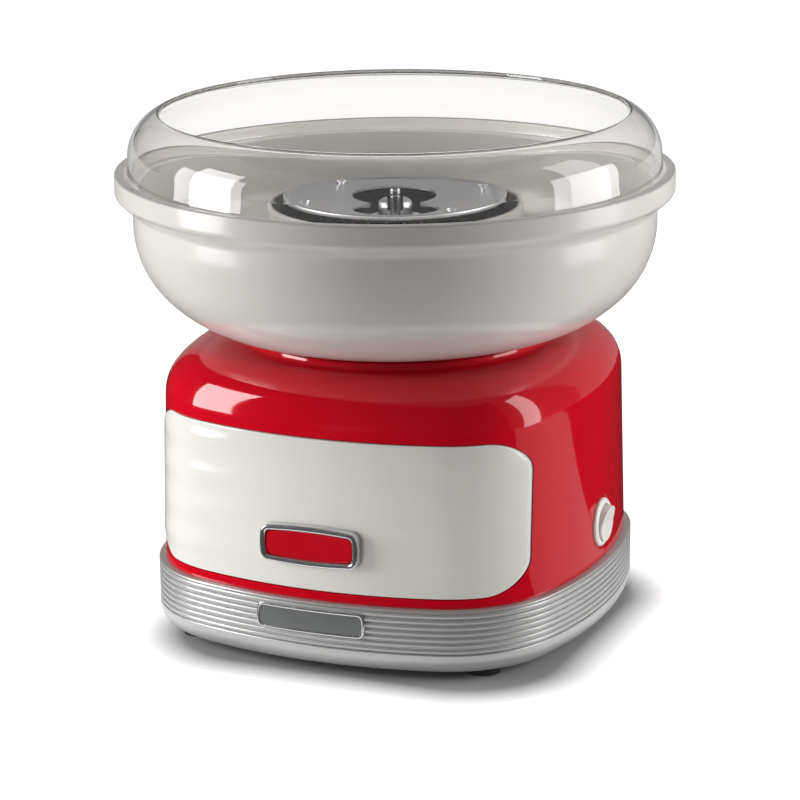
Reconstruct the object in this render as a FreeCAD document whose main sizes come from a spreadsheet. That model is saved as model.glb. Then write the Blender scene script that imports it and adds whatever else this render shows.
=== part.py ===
import FreeCAD, Part
import math
import os

import Sketcher
from FreeCAD import Placement, Rotation, Vector

# Table-top cotton candy machine: a square-bodied base on a ribbed skirt, a round
# catch bowl with a clear guard ring, and a spun floss head on the motor's shaft.
# Millimetres. +Z is up, the front looks along -Y, and the origin is on the table
# under the shaft.

SIZES = {
    # Moulded base: four bowed sides joined by round corners, measured at its foot
    "half_width": 110.3,
    "half_depth": 108.9,
    "side_bow": 230.0,
    "corner_round": 58.0,
    "draft_inset": 2.7,
    "wall": 2.5,
    "deck_height": 146.0,
    "shoulder_round": 24.0,
    "seam": 0.2,
    "fit_gap": 0.15,
    "joint_gap": 0.05,
    "seat_gap": 0.3,
    # Corner pillars that the bottom plate is screwed to, out from the corner's centre
    "pillar_out_x": 30.56,
    "pillar_out_y": 32.488,
    "pillar_radius": 5.0,
    "pillar_rise": 2.6,
    "pillar_length": 70.0,
    "pillar_pilot_depth": 18.0,
    # Neck on the deck, which the bowl stands on
    "neck_radius": 78.0,
    "neck_cove": 2.5,
    "neck_step": 3.5,
    "neck_side": 0.4,
    "neck_ledge": 1.8,
    "neck_gap": 0.6,
    # Front panel, wrapped round the two front corners
    "panel_half_width": 98.0,
    "panel_low": 42.3,
    "panel_high": 118.0,
    "panel_corner": 16.0,
    "panel_thickness": 2.0,
    "panel_proud": 0.7,
    "panel_margin": 0.6,
    # Badge in the middle of the front panel
    "badge_half_width": 26.0,
    "badge_half_height": 10.5,
    "badge_height": 65.0,
    "badge_side_bow": 40.0,
    "badge_top_bow": 150.0,
    "badge_proud": 4.2,
    "bezel_band": 3.0,
    "insert_sunk": 1.2,
    # Ribbed skirt and the bottom plate inside it
    "skirt_low": 4.3,
    "skirt_top": 37.2,
    "skirt_proud": 3.5,
    "skirt_wall": 3.0,
    "skirt_lip": 2.2,
    "skirt_lip_height": 2.0,
    "skirt_round": 8.0,
    "rib_pitch": 3.0,
    "rib_count": 7,
    "groove_width": 1.1,
    "groove_depth": 1.0,
    "groove_land": 2.5,
    "plate_thickness": 2.5,
    "post_wall": 1.8,
    "post_bore": 4.2,
    "post_end": 10.0,
    "vent_length": 46.0,
    "vent_width": 3.6,
    "vent_pitch": 7.5,
    "vent_count": 7,
    "vent_round": 1.6,
    # Name plate on the skirt
    "plate_half_width": 28.8,
    "plate_half_height": 6.5,
    "plate_drop": 9.7,
    "plate_end_bow": 9.0,
    "plate_proud": 1.1,
    "plate_border": 1.5,
    "plate_sunk": 0.4,
    # Rubber feet
    "foot_radius": 8.0,
    "foot_plug": 8.0,
    # Rocker switch on the right-hand side
    "switch_height": 56.0,
    "switch_depth_place": 3.0,
    "switch_recess_gap": 1.6,
    "switch_recess": 1.4,
    "switch_flange_reach": 2.0,
    "switch_flange": 2.6,
    "switch_bore": 9.6,
    "switch_wall": 0.8,
    "switch_body_length": 18.0,
    "rocker_gap": 0.4,
    "rocker_face": 2.6,
    "rocker_sunk": 1.2,
    "rocker_valley_angle": 8.0,
    "rocker_rest_angle": 8.0,
    "blade_width": 4.8,
    "blade_thickness": 0.8,
    "blade_length": 8.0,
    "blade_pitch": 5.2,
    # Cord inlet at the back
    "inlet_height": 52.0,
    "cord_bore": 3.3,
    "gland_wall": 1.9,
    "gland_flange_reach": 2.8,
    "gland_flange": 2.4,
    "gland_length": 12.0,
    "gland_seat": 1.4,
    "gland_collar": 5.0,
    "gland_cone": 0.6,
    # Motor, its plate and mounts
    "shaft_radius": 2.7,
    "running_gap": 0.05,
    "motor_radius": 21.0,
    "motor_length": 51.0,
    "motor_boss_radius": 8.0,
    "motor_edge": 2.1,
    "bell_inset": 1.5,
    "bell_height": 7.0,
    "bell_window_radius": 3.2,
    "bell_window_circle": 12.0,
    "bracket_half": 44.0,
    "bracket_thickness": 2.0,
    "bracket_corner": 8.0,
    "bracket_window_place": 32.5,
    "bracket_window_half_width": 5.8,
    "bracket_window_half_height": 10.5,
    "bracket_window_round": 3.8,
    "mount_offset": 35.5,
    "leg_radius": 5.0,
    "leg_length": 17.3,
    "grommet_radius": 6.5,
    "grommet_height": 3.9,
    "grommet_bore": 2.2,
    "screw_radius": 1.6,
    "screw_head_radius": 3.2,
    "screw_head_height": 2.0,
    "screw_bite": 9.0,
    # Cooling fan under the motor
    "fan_gap": 4.5,
    "fan_height": 8.0,
    "fan_hub_radius": 7.0,
    "fan_radius": 26.0,
    "fan_blades": 7,
    "fan_blade_thickness": 1.4,
    "fan_blade_width": 6.4,
    "fan_blade_pitch": 32.0,
    # Heater tower that stands through the bowl's chimney
    "heater_tower_radius": 60.5,
    "tower_wall": 2.4,
    "tower_height": 42.7,
    "tower_flange_reach": 11.5,
    "tower_flange": 2.6,
    "tower_screw_reach": 6.5,
    "tower_screw_bite": 7.0,
    "web_depth": 9.0,
    "bush_radius": 6.0,
    "bush_length": 10.0,
    "bush_boss_wall": 2.4,
    "bush_flange_reach": 3.0,
    "bush_flange": 1.6,
    # Heater
    "cup_inset": 1.2,
    "cup_sheet": 0.8,
    "cup_height": 18.8,
    "element_circle": 40.0,
    "element_radius": 3.2,
    "element_rise": 9.4,
    "insulator_radius": 4.5,
    "element_leg_radius": 1.6,
    "element_leg_angle": 9.0,
    "element_leg_depth": 26.0,
    "leg_hole_radius": 3.4,
    "cutout_place": 30.0,
    "cutout_radius": 8.0,
    "cutout_thickness": 6.0,
    # Floss head
    "head_inset": 4.5,
    "head_rise": 16.8,
    "head_rim_height": 2.5,
    "head_rim_width": 2.6,
    "head_lip": 0.4,
    "head_sheet": 1.0,
    "head_dish": 5.6,
    "head_angle": 114.0,
    "window_radius": 21.5,
    "window_offset": 17.5,
    "band_inset": 0.8,
    "band_wall": 1.3,
    "band_height": 3.0,
    "slot_count": 40,
    "slot_width": 1.4,
    "slot_height": 1.6,
    "pan_inset": 1.2,
    "pan_height": 9.0,
    "pan_corner": 4.0,
    "hub_wall": 2.3,
    "hub_spigot_radius": 6.2,
    "hub_flange_reach": 4.0,
    "hub_flange": 1.6,
    "hub_height": 11.6,
    "hub_dome": 3.0,
    "hub_dome_round": 4.2,
    "hub_slot": 8.0,
    "rivet_inset": 7.0,
    "rivet_first_angle": 147.0,
    "rivet_second_angle": 47.0,
    "rivet_radius": 1.6,
    "rivet_head_radius": 2.6,
    "rivet_head_height": 1.1,
    # Spindle
    "shaft_stub": 2.5,
    "shaft_reach": 6.4,
    "shaft_tip_round": 1.6,
    "ring_rise": 2.0,
    "ring_groove": 0.7,
    "pin_radius": 1.0,
    "pin_inset": 0.4,
    "pin_rise": 1.3,
    # Catch bowl
    "bowl_radius": 140.0,
    "bowl_height": 79.6,
    "bowl_edge": 0.8,
    "flange_depth": 10.1,
    "flange_bevel": 2.7,
    "flange_bevel_depth": 2.5,
    "flange_slope": 4.3,
    "flange_reach": 8.8,
    "bowl_wall": 3.0,
    "bowl_foot_radius": 76.0,
    "belly_rise": 54.0,
    "belly_bow": 50.0,
    "haunch_rise": 15.0,
    "haunch_bow": 60.0,
    "chimney_gap": 1.0,
    "chimney_wall": 2.8,
    "chimney_height": 62.0,
    "chimney_root": 6.0,
    "rebate_rim": 5.1,
    "rebate_depth": 5.6,
    # Clear guard ring
    "guard_wall": 2.2,
    "guard_foot": 7.4,
    "guard_lean": 1.4,
    "guard_rise": 22.2,
    "guard_bend": 23.4,
}

doc = FreeCAD.newDocument("CottonCandyMachine")
doc.UndoMode = 0


class Size:
    """A number that also knows the sheet expression that it comes from."""

    def __init__(self, value, text):
        self.value = float(value)
        self.text = text

    def __add__(self, other):
        other = size(other)
        return Size(self.value + other.value, f"({self.text} + {other.text})")

    def __sub__(self, other):
        other = size(other)
        return Size(self.value - other.value, f"({self.text} - {other.text})")

    def __mul__(self, factor):
        factor = size(factor)
        return Size(self.value * factor.value, f"({self.text} * {factor.text})")

    def __truediv__(self, divisor):
        divisor = size(divisor)
        return Size(self.value / divisor.value, f"({self.text} / {divisor.text})")

    def __neg__(self):
        return Size(-self.value, f"(0 - {self.text})")


def size(number):
    """A plain number as a Size; a Size comes back as it is."""
    if isinstance(number, Size):
        return number
    return Size(number, repr(float(number)))


def sine(degrees):
    """The sine of an angle in degrees, as a Size."""
    return Size(math.sin(math.radians(degrees.value)), f"sin({degrees.text} * 1deg)")


def cosine(degrees):
    """The cosine of an angle in degrees, as a Size."""
    return Size(math.cos(math.radians(degrees.value)), f"cos({degrees.text} * 1deg)")


def tangent(degrees):
    """The tangent of an angle in degrees, as a Size."""
    return Size(math.tan(math.radians(degrees.value)), f"tan({degrees.text} * 1deg)")


def arctangent(ratio):
    """The angle in degrees whose tangent is the ratio, as a Size."""
    return Size(math.degrees(math.atan(ratio.value)), f"(atan({ratio.text}) / 1deg)")


def root(square):
    """The square root of a Size."""
    return Size(math.sqrt(square.value), f"sqrt({square.text})")


class Sheet:
    """The document's spreadsheet of driving sizes, read as attributes."""

    def __init__(self, sizes):
        self.cells = doc.addObject("Spreadsheet::Sheet", "Sizes")
        self.numbers = sizes
        for row, (alias, number) in enumerate(sizes.items(), start=1):
            self.cells.set(f"A{row}", alias.replace("_", " "))
            self.cells.set(f"B{row}", str(number))
            self.cells.setAlias(f"B{row}", alias)
        doc.recompute()

    def __getattr__(self, alias):
        return Size(self.numbers[alias], f"Sizes.{alias}")


d = Sheet(SIZES)

# --- Drawing helpers -------------------------------------------------------------


def bind(thing, **sizes):
    """Tie properties of a document object to sheet expressions."""
    for name, value in sizes.items():
        thing.setExpression(name, size(value).text)
    return thing


def place(thing, x=0, y=0, z=0, turn=None):
    """Put a document object at a sheet-driven point, turned by a fixed rotation."""
    if turn is not None:
        thing.Placement = Placement(Vector(), turn)
    for name, value in (("x", x), ("y", y), ("z", z)):
        thing.setExpression(f"Placement.Base.{name}", size(value).text)
    return thing


def new_body(name):
    """An empty PartDesign body labelled with its own name."""
    body = doc.addObject("PartDesign::Body", name)
    body.Label = name
    return body


def origin_plane(body, role):
    """One of a body's own origin planes or axes, found by its role."""
    return next(item for item in body.Origin.OriginFeatures if item.Role == role)


def sketch_on(body, name, role="XY_Plane", offset=0):
    """A sketch on one of the body's origin planes, moved along its normal."""
    sketch = body.newObject("Sketcher::SketchObject", f"{body.Name}_{name}")
    sketch.AttachmentSupport = [(origin_plane(body, role), "")]
    sketch.MapMode = "FlatFace"
    sketch.setExpression("AttachmentOffset.Base.z", size(offset).text)
    return sketch


def dimension(sketch, kind, references, value):
    """Add a dimension whose value follows the sheet."""
    index = sketch.addConstraint(Sketcher.Constraint(kind, *references, value.value))
    sketch.setExpression(f"Constraints[{index}]", value.text)


def locate(sketch, geometry, point, x, y):
    """Fix a point of the sketch at sheet-driven coordinates."""
    for kind, value in (("DistanceX", size(x)), ("DistanceY", size(y))):
        if abs(value.value) < 1e-9:
            axis = -2 if kind == "DistanceX" else -1
            sketch.addConstraint(Sketcher.Constraint("PointOnObject", geometry, point, axis))
        elif value.value > 0:
            dimension(sketch, kind, (-1, 1, geometry, point), value)
        else:
            dimension(sketch, kind, (geometry, point, -1, 1), -value)


def outline(sketch, *points):
    """Draw a closed outline.

    Each point is (x, y) or (x, y, radius): a radius bends the side that leaves the
    point, to the left of the way of travel when positive and to the right when
    negative.
    """
    sides = []
    count = len(points)
    for index, point in enumerate(points):
        start = Vector(size(point[0]).value, size(point[1]).value)
        follower = points[(index + 1) % count]
        end = Vector(size(follower[0]).value, size(follower[1]).value)
        leaves = 1
        line = Part.LineSegment(start, end)
        if len(point) == 3:
            radius = size(point[2]).value
            line = bent_side(start, end, radius)
            leaves = 2 if radius > 0 else 1
        sides.append((sketch.addGeometry(line), leaves))
    for index, point in enumerate(points):
        side, leaves = sides[index]
        follower, follower_leaves = sides[(index + 1) % count]
        joint = Sketcher.Constraint("Coincident", side, 3 - leaves, follower, follower_leaves)
        sketch.addConstraint(joint)
        locate(sketch, side, leaves, point[0], point[1])
        if len(point) == 3:
            radius = size(point[2])
            dimension(sketch, "Radius", (side,), radius if radius.value > 0 else -radius)


def bent_side(start, end, radius):
    """The shorter arc from start to end; it bulges left when the radius is positive.

    The arc itself always runs anticlockwise, so a side that bulges left starts at the
    arc's end.
    """
    chord = end - start
    left = Vector(-chord.y, chord.x).normalize()
    reach = math.sqrt(radius * radius - chord.Length ** 2 / 4)
    centre = (start + end) / 2 - left * math.copysign(reach, radius)
    first, last = (end, start) if radius > 0 else (start, end)
    angles = [math.atan2(point.y - centre.y, point.x - centre.x) for point in (first, last)]
    if angles[1] < angles[0]:
        angles[1] += 2 * math.pi
    return Part.ArcOfCircle(Part.Circle(centre, Vector(0, 0, 1), abs(radius)), *angles)


def circle(sketch, radius, x=0, y=0):
    """Draw a circle at a sheet-driven centre."""
    centre = Vector(size(x).value, size(y).value)
    ring = sketch.addGeometry(Part.Circle(centre, Vector(0, 0, 1), size(radius).value))
    locate(sketch, ring, 3, x, y)
    dimension(sketch, "Radius", (ring,), size(radius))


def rectangle(sketch, half_x, half_y, x=0, y=0):
    """Draw an upright rectangle about a sheet-driven centre."""
    x, y = size(x), size(y)
    outline(sketch, (x - half_x, y - half_y), (x + half_x, y - half_y),
            (x + half_x, y + half_y), (x - half_x, y + half_y))


def rounded_rectangle(sketch, half_x, half_y, radius, x=0, y=0):
    """Draw an upright rectangle with round corners about a sheet-driven centre."""
    x, y, radius = size(x), size(y), size(radius)
    left, right, low, high = x - half_x, x + half_x, y - half_y, y + half_y
    bend = -radius
    outline(sketch, (left + radius, low), (right - radius, low, bend),
            (right, low + radius), (right, high - radius, bend),
            (right - radius, high), (left + radius, high, bend),
            (left, high - radius), (left, low + radius, bend))


def corner_centre():
    """The centre of a round corner of the base's plan, as two Sizes.

    It lies at the same reach from the centres of both the sides that it joins.
    """
    back_x = d.side_bow - d.half_width
    back_y = d.side_bow - d.half_depth
    reach = d.side_bow - d.corner_round
    span = root(back_x * back_x + back_y * back_y)
    rise = root(reach * reach - span * span / 4)
    return rise * back_y / span - back_x / 2, rise * back_x / span - back_y / 2


def bowed_square(sketch, grow=0):
    """Draw the base's plan: four bowed sides, tangent to four round corners.

    grow moves the whole outline outwards, as an offset curve does.
    """
    grow = size(grow)
    bow = d.side_bow + grow
    corner = d.corner_round + grow
    back_x = (d.side_bow - d.half_width).value
    back_y = (d.side_bow - d.half_depth).value
    corner_x, corner_y = (place.value for place in corner_centre())
    side_x = math.atan2(corner_y, corner_x + back_x)
    side_y = math.atan2(corner_y + back_y, corner_x)
    quarter = math.pi / 2
    arcs = []
    for turn, shift in enumerate((back_x, back_y, back_x, back_y)):
        half = side_x if turn % 2 == 0 else quarter - side_y
        middle = turn * quarter
        centre = Vector(-shift * math.cos(middle), -shift * math.sin(middle))
        arcs.append((centre, bow, middle - half, middle + half))
        signs = ((1, 1), (-1, 1), (-1, -1), (1, -1))[turn]
        centre = Vector(signs[0] * corner_x, signs[1] * corner_y)
        next_half = quarter - side_y if turn % 2 == 0 else side_x
        arcs.append((centre, corner, middle + half, middle + quarter - next_half))
    sides = []
    for centre, radius, low, high in arcs:
        ring = Part.Circle(centre, Vector(0, 0, 1), radius.value)
        sides.append(sketch.addGeometry(Part.ArcOfCircle(ring, low, high)))
    for index, (side, arc) in enumerate(zip(sides, arcs)):
        follower = sides[(index + 1) % len(sides)]
        sketch.addConstraint(Sketcher.Constraint("Tangent", side, 2, follower, 1))
        dimension(sketch, "Radius", (side,), arc[1])
    for side, x, y in ((sides[0], d.half_width - d.side_bow, 0),
                       (sides[2], 0, d.half_depth - d.side_bow),
                       (sides[4], d.side_bow - d.half_width, 0),
                       (sides[6], 0, d.side_bow - d.half_depth)):
        locate(sketch, side, 3, x, y)


# --- Solid helpers ----------------------------------------------------------------


def pad(body, sketch, length, symmetric=False):
    """Raise a sketch along its normal."""
    feature = body.newObject("PartDesign::Pad", f"{sketch.Name}_pad")
    feature.Profile = sketch
    if symmetric:
        feature.SideType = "Symmetric"
    return bind(feature, Length=length)


def pocket(body, sketch, length=None, upwards=False, symmetric=False):
    """Cut a sketch into the body: to a length, or right through."""
    feature = body.newObject("PartDesign::Pocket", f"{sketch.Name}_cut")
    feature.Profile = sketch
    feature.Reversed = upwards
    if symmetric:
        feature.SideType = "Symmetric"
    if length is None:
        feature.Type = "ThroughAll"
    else:
        bind(feature, Length=length)
    return feature


def turned(body, sketch, cut=False):
    """Turn a sketch about the upright axis, as a solid or as a groove."""
    kind = "Groove" if cut else "Revolution"
    feature = body.newObject(f"PartDesign::{kind}", f"{sketch.Name}_turn")
    feature.Profile = sketch
    feature.ReferenceAxis = (sketch, ["V_Axis"])
    feature.Angle = FULL_TURN
    return feature


def round_edges(body, radius, chooses):
    """Fillet those edges of the body's last feature that chooses(edge) picks."""
    doc.recompute()
    base = body.Tip
    names = [f"Edge{index}" for index, edge in enumerate(base.Shape.Edges, start=1)
             if chooses(edge)]
    feature = body.newObject("PartDesign::Fillet", f"{base.Name}_fillet")
    feature.Base = (base, names)
    return bind(feature, Radius=radius)


def level_at(height, tolerance=1e-3):
    """A test for edges that lie flat at a height."""
    level = size(height).value

    def lies_there(edge):
        box = edge.BoundBox
        return abs(box.ZMin - level) < tolerance and abs(box.ZMax - level) < tolerance
    return lies_there


def polar(body, features, count):
    """Repeat features evenly about the upright axis."""
    pattern = body.newObject("PartDesign::PolarPattern", f"{features[0].Name}_polar")
    pattern.Originals = features
    pattern.Axis = (origin_plane(body, "Z_Axis"), [""])
    pattern.Angle = FULL_TURN
    bind(pattern, Occurrences=count)
    body.Tip = pattern
    return pattern


def row(body, features, role, length, count):
    """Repeat features along one of the body's axes."""
    pattern = body.newObject("PartDesign::LinearPattern", f"{features[0].Name}_row")
    pattern.Originals = features
    pattern.Direction = (origin_plane(body, role), [""])
    bind(pattern, Length=length, Occurrences=count)
    body.Tip = pattern
    return pattern


def cylinder(name, radius, length, x=0, y=0, z=0, turn=None):
    """A Part cylinder whose base centre is at a sheet-driven point."""
    solid = doc.addObject("Part::Cylinder", name)
    bind(solid, Radius=radius, Height=length)
    return place(solid, x, y, z, turn)


def block(name, length, width, height, x=0, y=0, z=0, turn=None):
    """A Part box whose low corner is at a sheet-driven point."""
    solid = doc.addObject("Part::Box", name)
    bind(solid, Length=length, Width=width, Height=height)
    return place(solid, x, y, z, turn)


def fuse(name, solids):
    """Join solids into one."""
    joined = doc.addObject("Part::MultiFuse", name)
    joined.Shapes = solids
    return joined


def cut(name, solid, tool):
    """Take a tool, or several, away from a solid."""
    if isinstance(tool, list):
        tool = fuse(f"{name}_tools", tool)
    result = doc.addObject("Part::Cut", name)
    result.Base = solid
    result.Tool = tool
    return result


def common(name, solid, other):
    """What two solids share."""
    result = doc.addObject("Part::MultiCommon", name)
    result.Shapes = [solid, other]
    return result


def group(name, solids):
    """Several separate solids kept as one sub-part."""
    bundle = doc.addObject("Part::Compound", name)
    bundle.Links = solids
    return bundle


HALF_TURN = 180
FULL_TURN = 360
# How far a cutting tool runs past the face that it opens
PAST = 1.0
UP_TO_X = Rotation(Vector(0, 1, 0), 90)
UP_TO_Y = Rotation(Vector(1, 0, 0), -90)
CORNERS = ((1, -1), (-1, -1), (-1, 1), (1, 1))
FOOT_NAMES = ("foot_front_right", "foot_front_left", "foot_rear_left", "foot_rear_right")
TOWER_SCREW_ANGLES = (30, 150, 270)
POST_ANGLES = (60, 140, 220, 300)

# Heights and places that several pieces share, from the table upwards
plate_low = d.skirt_low + d.skirt_lip_height + d.seam
plate_top = plate_low + d.plate_thickness
groove_low = d.skirt_top - d.groove_land - d.groove_width - d.rib_pitch * (d.rib_count - 1)
plate_height = d.skirt_top - d.plate_drop
housing_low = d.skirt_top + d.seam
corner_x, corner_y = corner_centre()
pillar_x = corner_x + d.pillar_out_x
pillar_y = corner_y + d.pillar_out_y
pillar_foot = housing_low + d.pillar_rise
post_radius = d.post_bore + d.post_wall
post_top = pillar_foot - d.seam
post_ledge = pillar_foot - d.post_end
ceiling = d.deck_height - d.wall
draft_angle = -arctangent(d.draft_inset / (d.deck_height - housing_low))
neck_step_height = d.deck_height + d.neck_cove + d.neck_side
neck_seat = neck_step_height + d.neck_ledge

# Switch and cord bushing
switch_body_radius = d.switch_bore + d.switch_wall
switch_flange_radius = switch_body_radius + d.switch_flange_reach
switch_seat_x = d.half_width - d.switch_recess
rocker_radius = d.switch_bore - d.rocker_gap
rocker_axis_x = switch_seat_x + d.switch_flange - d.rocker_sunk
gland_radius = d.cord_bore + d.gland_wall
gland_flange_radius = gland_radius + d.gland_flange_reach
gland_seat_y = d.half_depth - d.gland_seat

# Motor, hung from the tower's flange
tower_flange_top = ceiling - d.seam
tower_flange_low = tower_flange_top - d.tower_flange
leg_low = tower_flange_low - d.leg_length
bracket_top = leg_low - d.grommet_height - d.fit_gap * 2
bracket_low = bracket_top - d.bracket_thickness
motor_high = bracket_low - d.seam
motor_low = motor_high - d.motor_length
bell_low = motor_low - d.bell_height
bell_radius = d.motor_radius - d.bell_inset
fan_low = bell_low - d.fan_gap - d.fan_height
shaft_low = fan_low - d.shaft_stub

# Heater on top of the tower
tower_screw_circle = d.heater_tower_radius + d.tower_screw_reach
tower_top = tower_flange_top + d.tower_height
bush_low = tower_top - d.bush_length
bush_flange_radius = d.bush_radius + d.bush_flange_reach
cup_radius = d.heater_tower_radius - d.cup_inset
cup_floor = tower_top + d.seam
element_height = cup_floor + d.element_rise

# Floss head over the heater, and the shaft's upper end
head_radius = d.heater_tower_radius - d.head_inset
rivet_circle = head_radius - d.rivet_inset
pan_radius = head_radius - d.pan_inset
pan_low = cup_floor + d.head_rise
band_low = pan_low + d.pan_height
head_rim_low = band_low + d.band_height
head_rim_top = head_rim_low + d.head_rim_height
hub_radius = d.hub_spigot_radius + d.hub_wall
hub_top = pan_low + d.hub_height
ring_height = hub_top + d.ring_rise
shaft_top = hub_top + d.shaft_reach
pin_height = pan_low + d.pin_rise

# Catch bowl on the neck, and the guard in its rebate
chimney_bore = d.heater_tower_radius + d.chimney_gap
bowl_low = neck_seat + d.seat_gap
bowl_top = bowl_low + d.bowl_height

# --- Base shell --------------------------------------------------------------------


def drafted_form(name, grow, top=None):
    """The base's drafted form, grown outwards; it tapers from the foot to the deck."""
    body = new_body(name)
    plan = sketch_on(body, "plan", offset=housing_low)
    bowed_square(plan, grow)
    form = pad(body, plan, (top or d.deck_height) - housing_low)
    form.setExpression("TaperAngle", draft_angle.text)
    return body


def panel_field(name, margin):
    """The panel's rounded front view, carried through the front half of the base."""
    body = new_body(name)
    margin = size(margin)
    sketch = sketch_on(body, "field", "XZ_Plane")
    rounded_rectangle(sketch, d.panel_half_width + margin,
                      (d.panel_high - d.panel_low) / 2 + margin,
                      d.panel_corner + margin, 0, (d.panel_high + d.panel_low) / 2)
    pad(body, sketch, d.half_depth + PAST)
    return body


def make_housing():
    """Red upper shell: shoulder, deck, neck, corner pillars and its openings."""
    shell = drafted_form("housing_shell", 0)
    round_edges(shell, d.shoulder_round, level_at(d.deck_height))

    neck = sketch_on(shell, "neck", "XZ_Plane")
    cove_foot = d.neck_radius + d.neck_cove
    step = d.neck_radius - d.neck_step
    outline(neck, (0, ceiling), (cove_foot, ceiling), (cove_foot, d.deck_height, d.neck_cove),
            (d.neck_radius, d.deck_height + d.neck_cove), (d.neck_radius, neck_step_height),
            (step, neck_step_height), (step, neck_seat), (0, neck_seat))
    turned(shell, neck)

    cavity = drafted_form("housing_cavity", -d.wall, ceiling)
    round_edges(cavity, d.shoulder_round - d.wall, level_at(ceiling))
    hollow = cut("housing_hollow", shell, cavity)
    pillars = common("housing_pillars", fuse("pillar_blanks", pillar_blanks()),
                     drafted_form("pillar_limit", -d.wall / 2))
    posted = fuse("housing_posted", [hollow, pillars])
    holes = [cylinder(f"pillar_pilot_{index}", d.screw_radius + d.fit_gap / 2,
                      d.pillar_pilot_depth, pillar_x * side, pillar_y * depth, pillar_foot)
             for index, (side, depth) in enumerate(CORNERS)]
    holes.append(cylinder("neck_hole", d.heater_tower_radius + d.neck_gap,
                          neck_seat - ceiling + PAST * 2, 0, 0, ceiling - PAST))

    outer = drafted_form("recess_outer", d.wall)
    inner = drafted_form("recess_inner", d.panel_proud - d.panel_thickness - d.fit_gap)
    skin = cut("recess_skin", outer, inner)
    recess = common("panel_recess", skin, panel_field("recess_field", d.panel_margin))

    sink = d.switch_recess + PAST
    through = d.wall + PAST * 2
    switch = fuse("switch_holes", [
        cylinder("switch_recess_cut", switch_flange_radius + d.switch_recess_gap, sink,
                 switch_seat_x, d.switch_depth_place, d.switch_height, UP_TO_X),
        cylinder("switch_body_cut", switch_body_radius + d.fit_gap, through * 2,
                 switch_seat_x - through, d.switch_depth_place, d.switch_height, UP_TO_X)])
    inlet = fuse("inlet_holes", [
        cylinder("gland_seat_cut", gland_flange_radius + d.fit_gap, d.gland_seat + PAST,
                 0, gland_seat_y, d.inlet_height, UP_TO_Y),
        cylinder("gland_body_cut", gland_radius + d.fit_gap, through * 2,
                 0, gland_seat_y - through, d.inlet_height, UP_TO_Y)])
    screw_room = d.tower_screw_bite - d.tower_flange
    screws = [cylinder(f"tower_pilot_{index}", d.screw_radius + d.fit_gap, screw_room + PAST,
                       *on_circle(tower_screw_circle, angle), ceiling - PAST)
              for index, angle in enumerate(TOWER_SCREW_ANGLES)]
    return cut("base_housing", posted, holes + [recess, switch, inlet] + screws)


def pillar_blanks():
    """Corner pillars, each with a web that runs out into the corner."""
    solids = []
    tall = d.pillar_length
    for index, (side, depth) in enumerate(CORNERS):
        x, y = pillar_x * side, pillar_y * depth
        solids.append(cylinder(f"pillar_{index}", d.pillar_radius, tall, x, y, pillar_foot))
        solids.append(web(f"pillar_web_{index}", d.corner_round, d.wall, tall,
                          x, y, pillar_foot, math.degrees(math.atan2(depth, side))))
    return solids


def web(name, reach, thickness, height, x, y, z, degrees):
    """An upright plate that leaves (x, y) at an angle in plan."""
    angle = size(degrees)
    return block(name, reach, thickness, height, x + thickness * sine(angle) / 2,
                 y - thickness * cosine(angle) / 2, z, Rotation(Vector(0, 0, 1), degrees))


def on_circle(radius, degrees):
    """A point on a circle about the shaft, as two Sizes."""
    angle = size(degrees)
    return radius * cosine(angle), radius * sine(angle)


def make_front_panel():
    """Pale panel, seated in the recess round the two front corners."""
    outer = drafted_form("panel_outer", d.panel_proud)
    inner = drafted_form("panel_inner", d.panel_proud - d.panel_thickness)
    skin = cut("panel_skin", outer, inner)
    return common("front_panel", skin, panel_field("panel_shape", 0))


def barrel(sketch, half_x, half_z, z, side_bow, top_bow):
    """Draw a plate outline with four bowed sides."""
    z = size(z)
    bulge_x = bow_rise(side_bow, half_z)
    bulge_z = bow_rise(top_bow, half_x)
    x_end = half_x - bulge_x
    z_end = half_z - bulge_z
    outline(sketch, (-x_end, z - z_end, -top_bow), (x_end, z - z_end, -side_bow),
            (x_end, z + z_end, -top_bow), (-x_end, z + z_end, -side_bow))


def bow_rise(radius, half):
    """How far a bow of this radius rises over a half chord, to the first order."""
    return half * half / (size(radius) * 2)


def make_badge():
    """Chromed bezel and the plain red plate that it frames."""
    lean = d.draft_inset * (d.badge_height - housing_low) / (d.deck_height - housing_low)
    front = d.half_depth - lean + d.panel_proud + d.badge_proud
    back = d.half_depth - d.draft_inset
    bezel = new_body("bezel_blank")
    rim = sketch_on(bezel, "rim", "XZ_Plane", back)
    barrel(rim, d.badge_half_width, d.badge_half_height, d.badge_height,
           d.badge_side_bow, d.badge_top_bow)
    pad(bezel, rim, front - back)
    round_edges(bezel, d.bezel_band / 2,
                lambda edge: abs(edge.BoundBox.YMin + front.value) < 1e-3
                and abs(edge.BoundBox.YMax + front.value) < 1e-3)
    window = sketch_on(bezel, "window", "XZ_Plane", front)
    inner_x = d.badge_half_width - d.bezel_band
    inner_z = d.badge_half_height - d.bezel_band
    barrel(window, inner_x, inner_z, d.badge_height, d.badge_side_bow, d.badge_top_bow)
    pocket(bezel, window)
    seat = drafted_form("badge_seat", d.panel_proud + d.fit_gap / 2)
    bezel_ring = cut("badge_bezel", bezel, seat)

    insert = new_body("insert_blank")
    face = sketch_on(insert, "face", "XZ_Plane", back)
    barrel(face, inner_x - d.fit_gap, inner_z - d.fit_gap, d.badge_height,
           d.badge_side_bow, d.badge_top_bow)
    pad(insert, face, front - back - d.insert_sunk)
    insert_seat = drafted_form("insert_seat", d.panel_proud + d.fit_gap / 2)
    return [bezel_ring, cut("badge_insert", insert, insert_seat)]


# --- Skirt, bottom plate and feet ----------------------------------------------------


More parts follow.
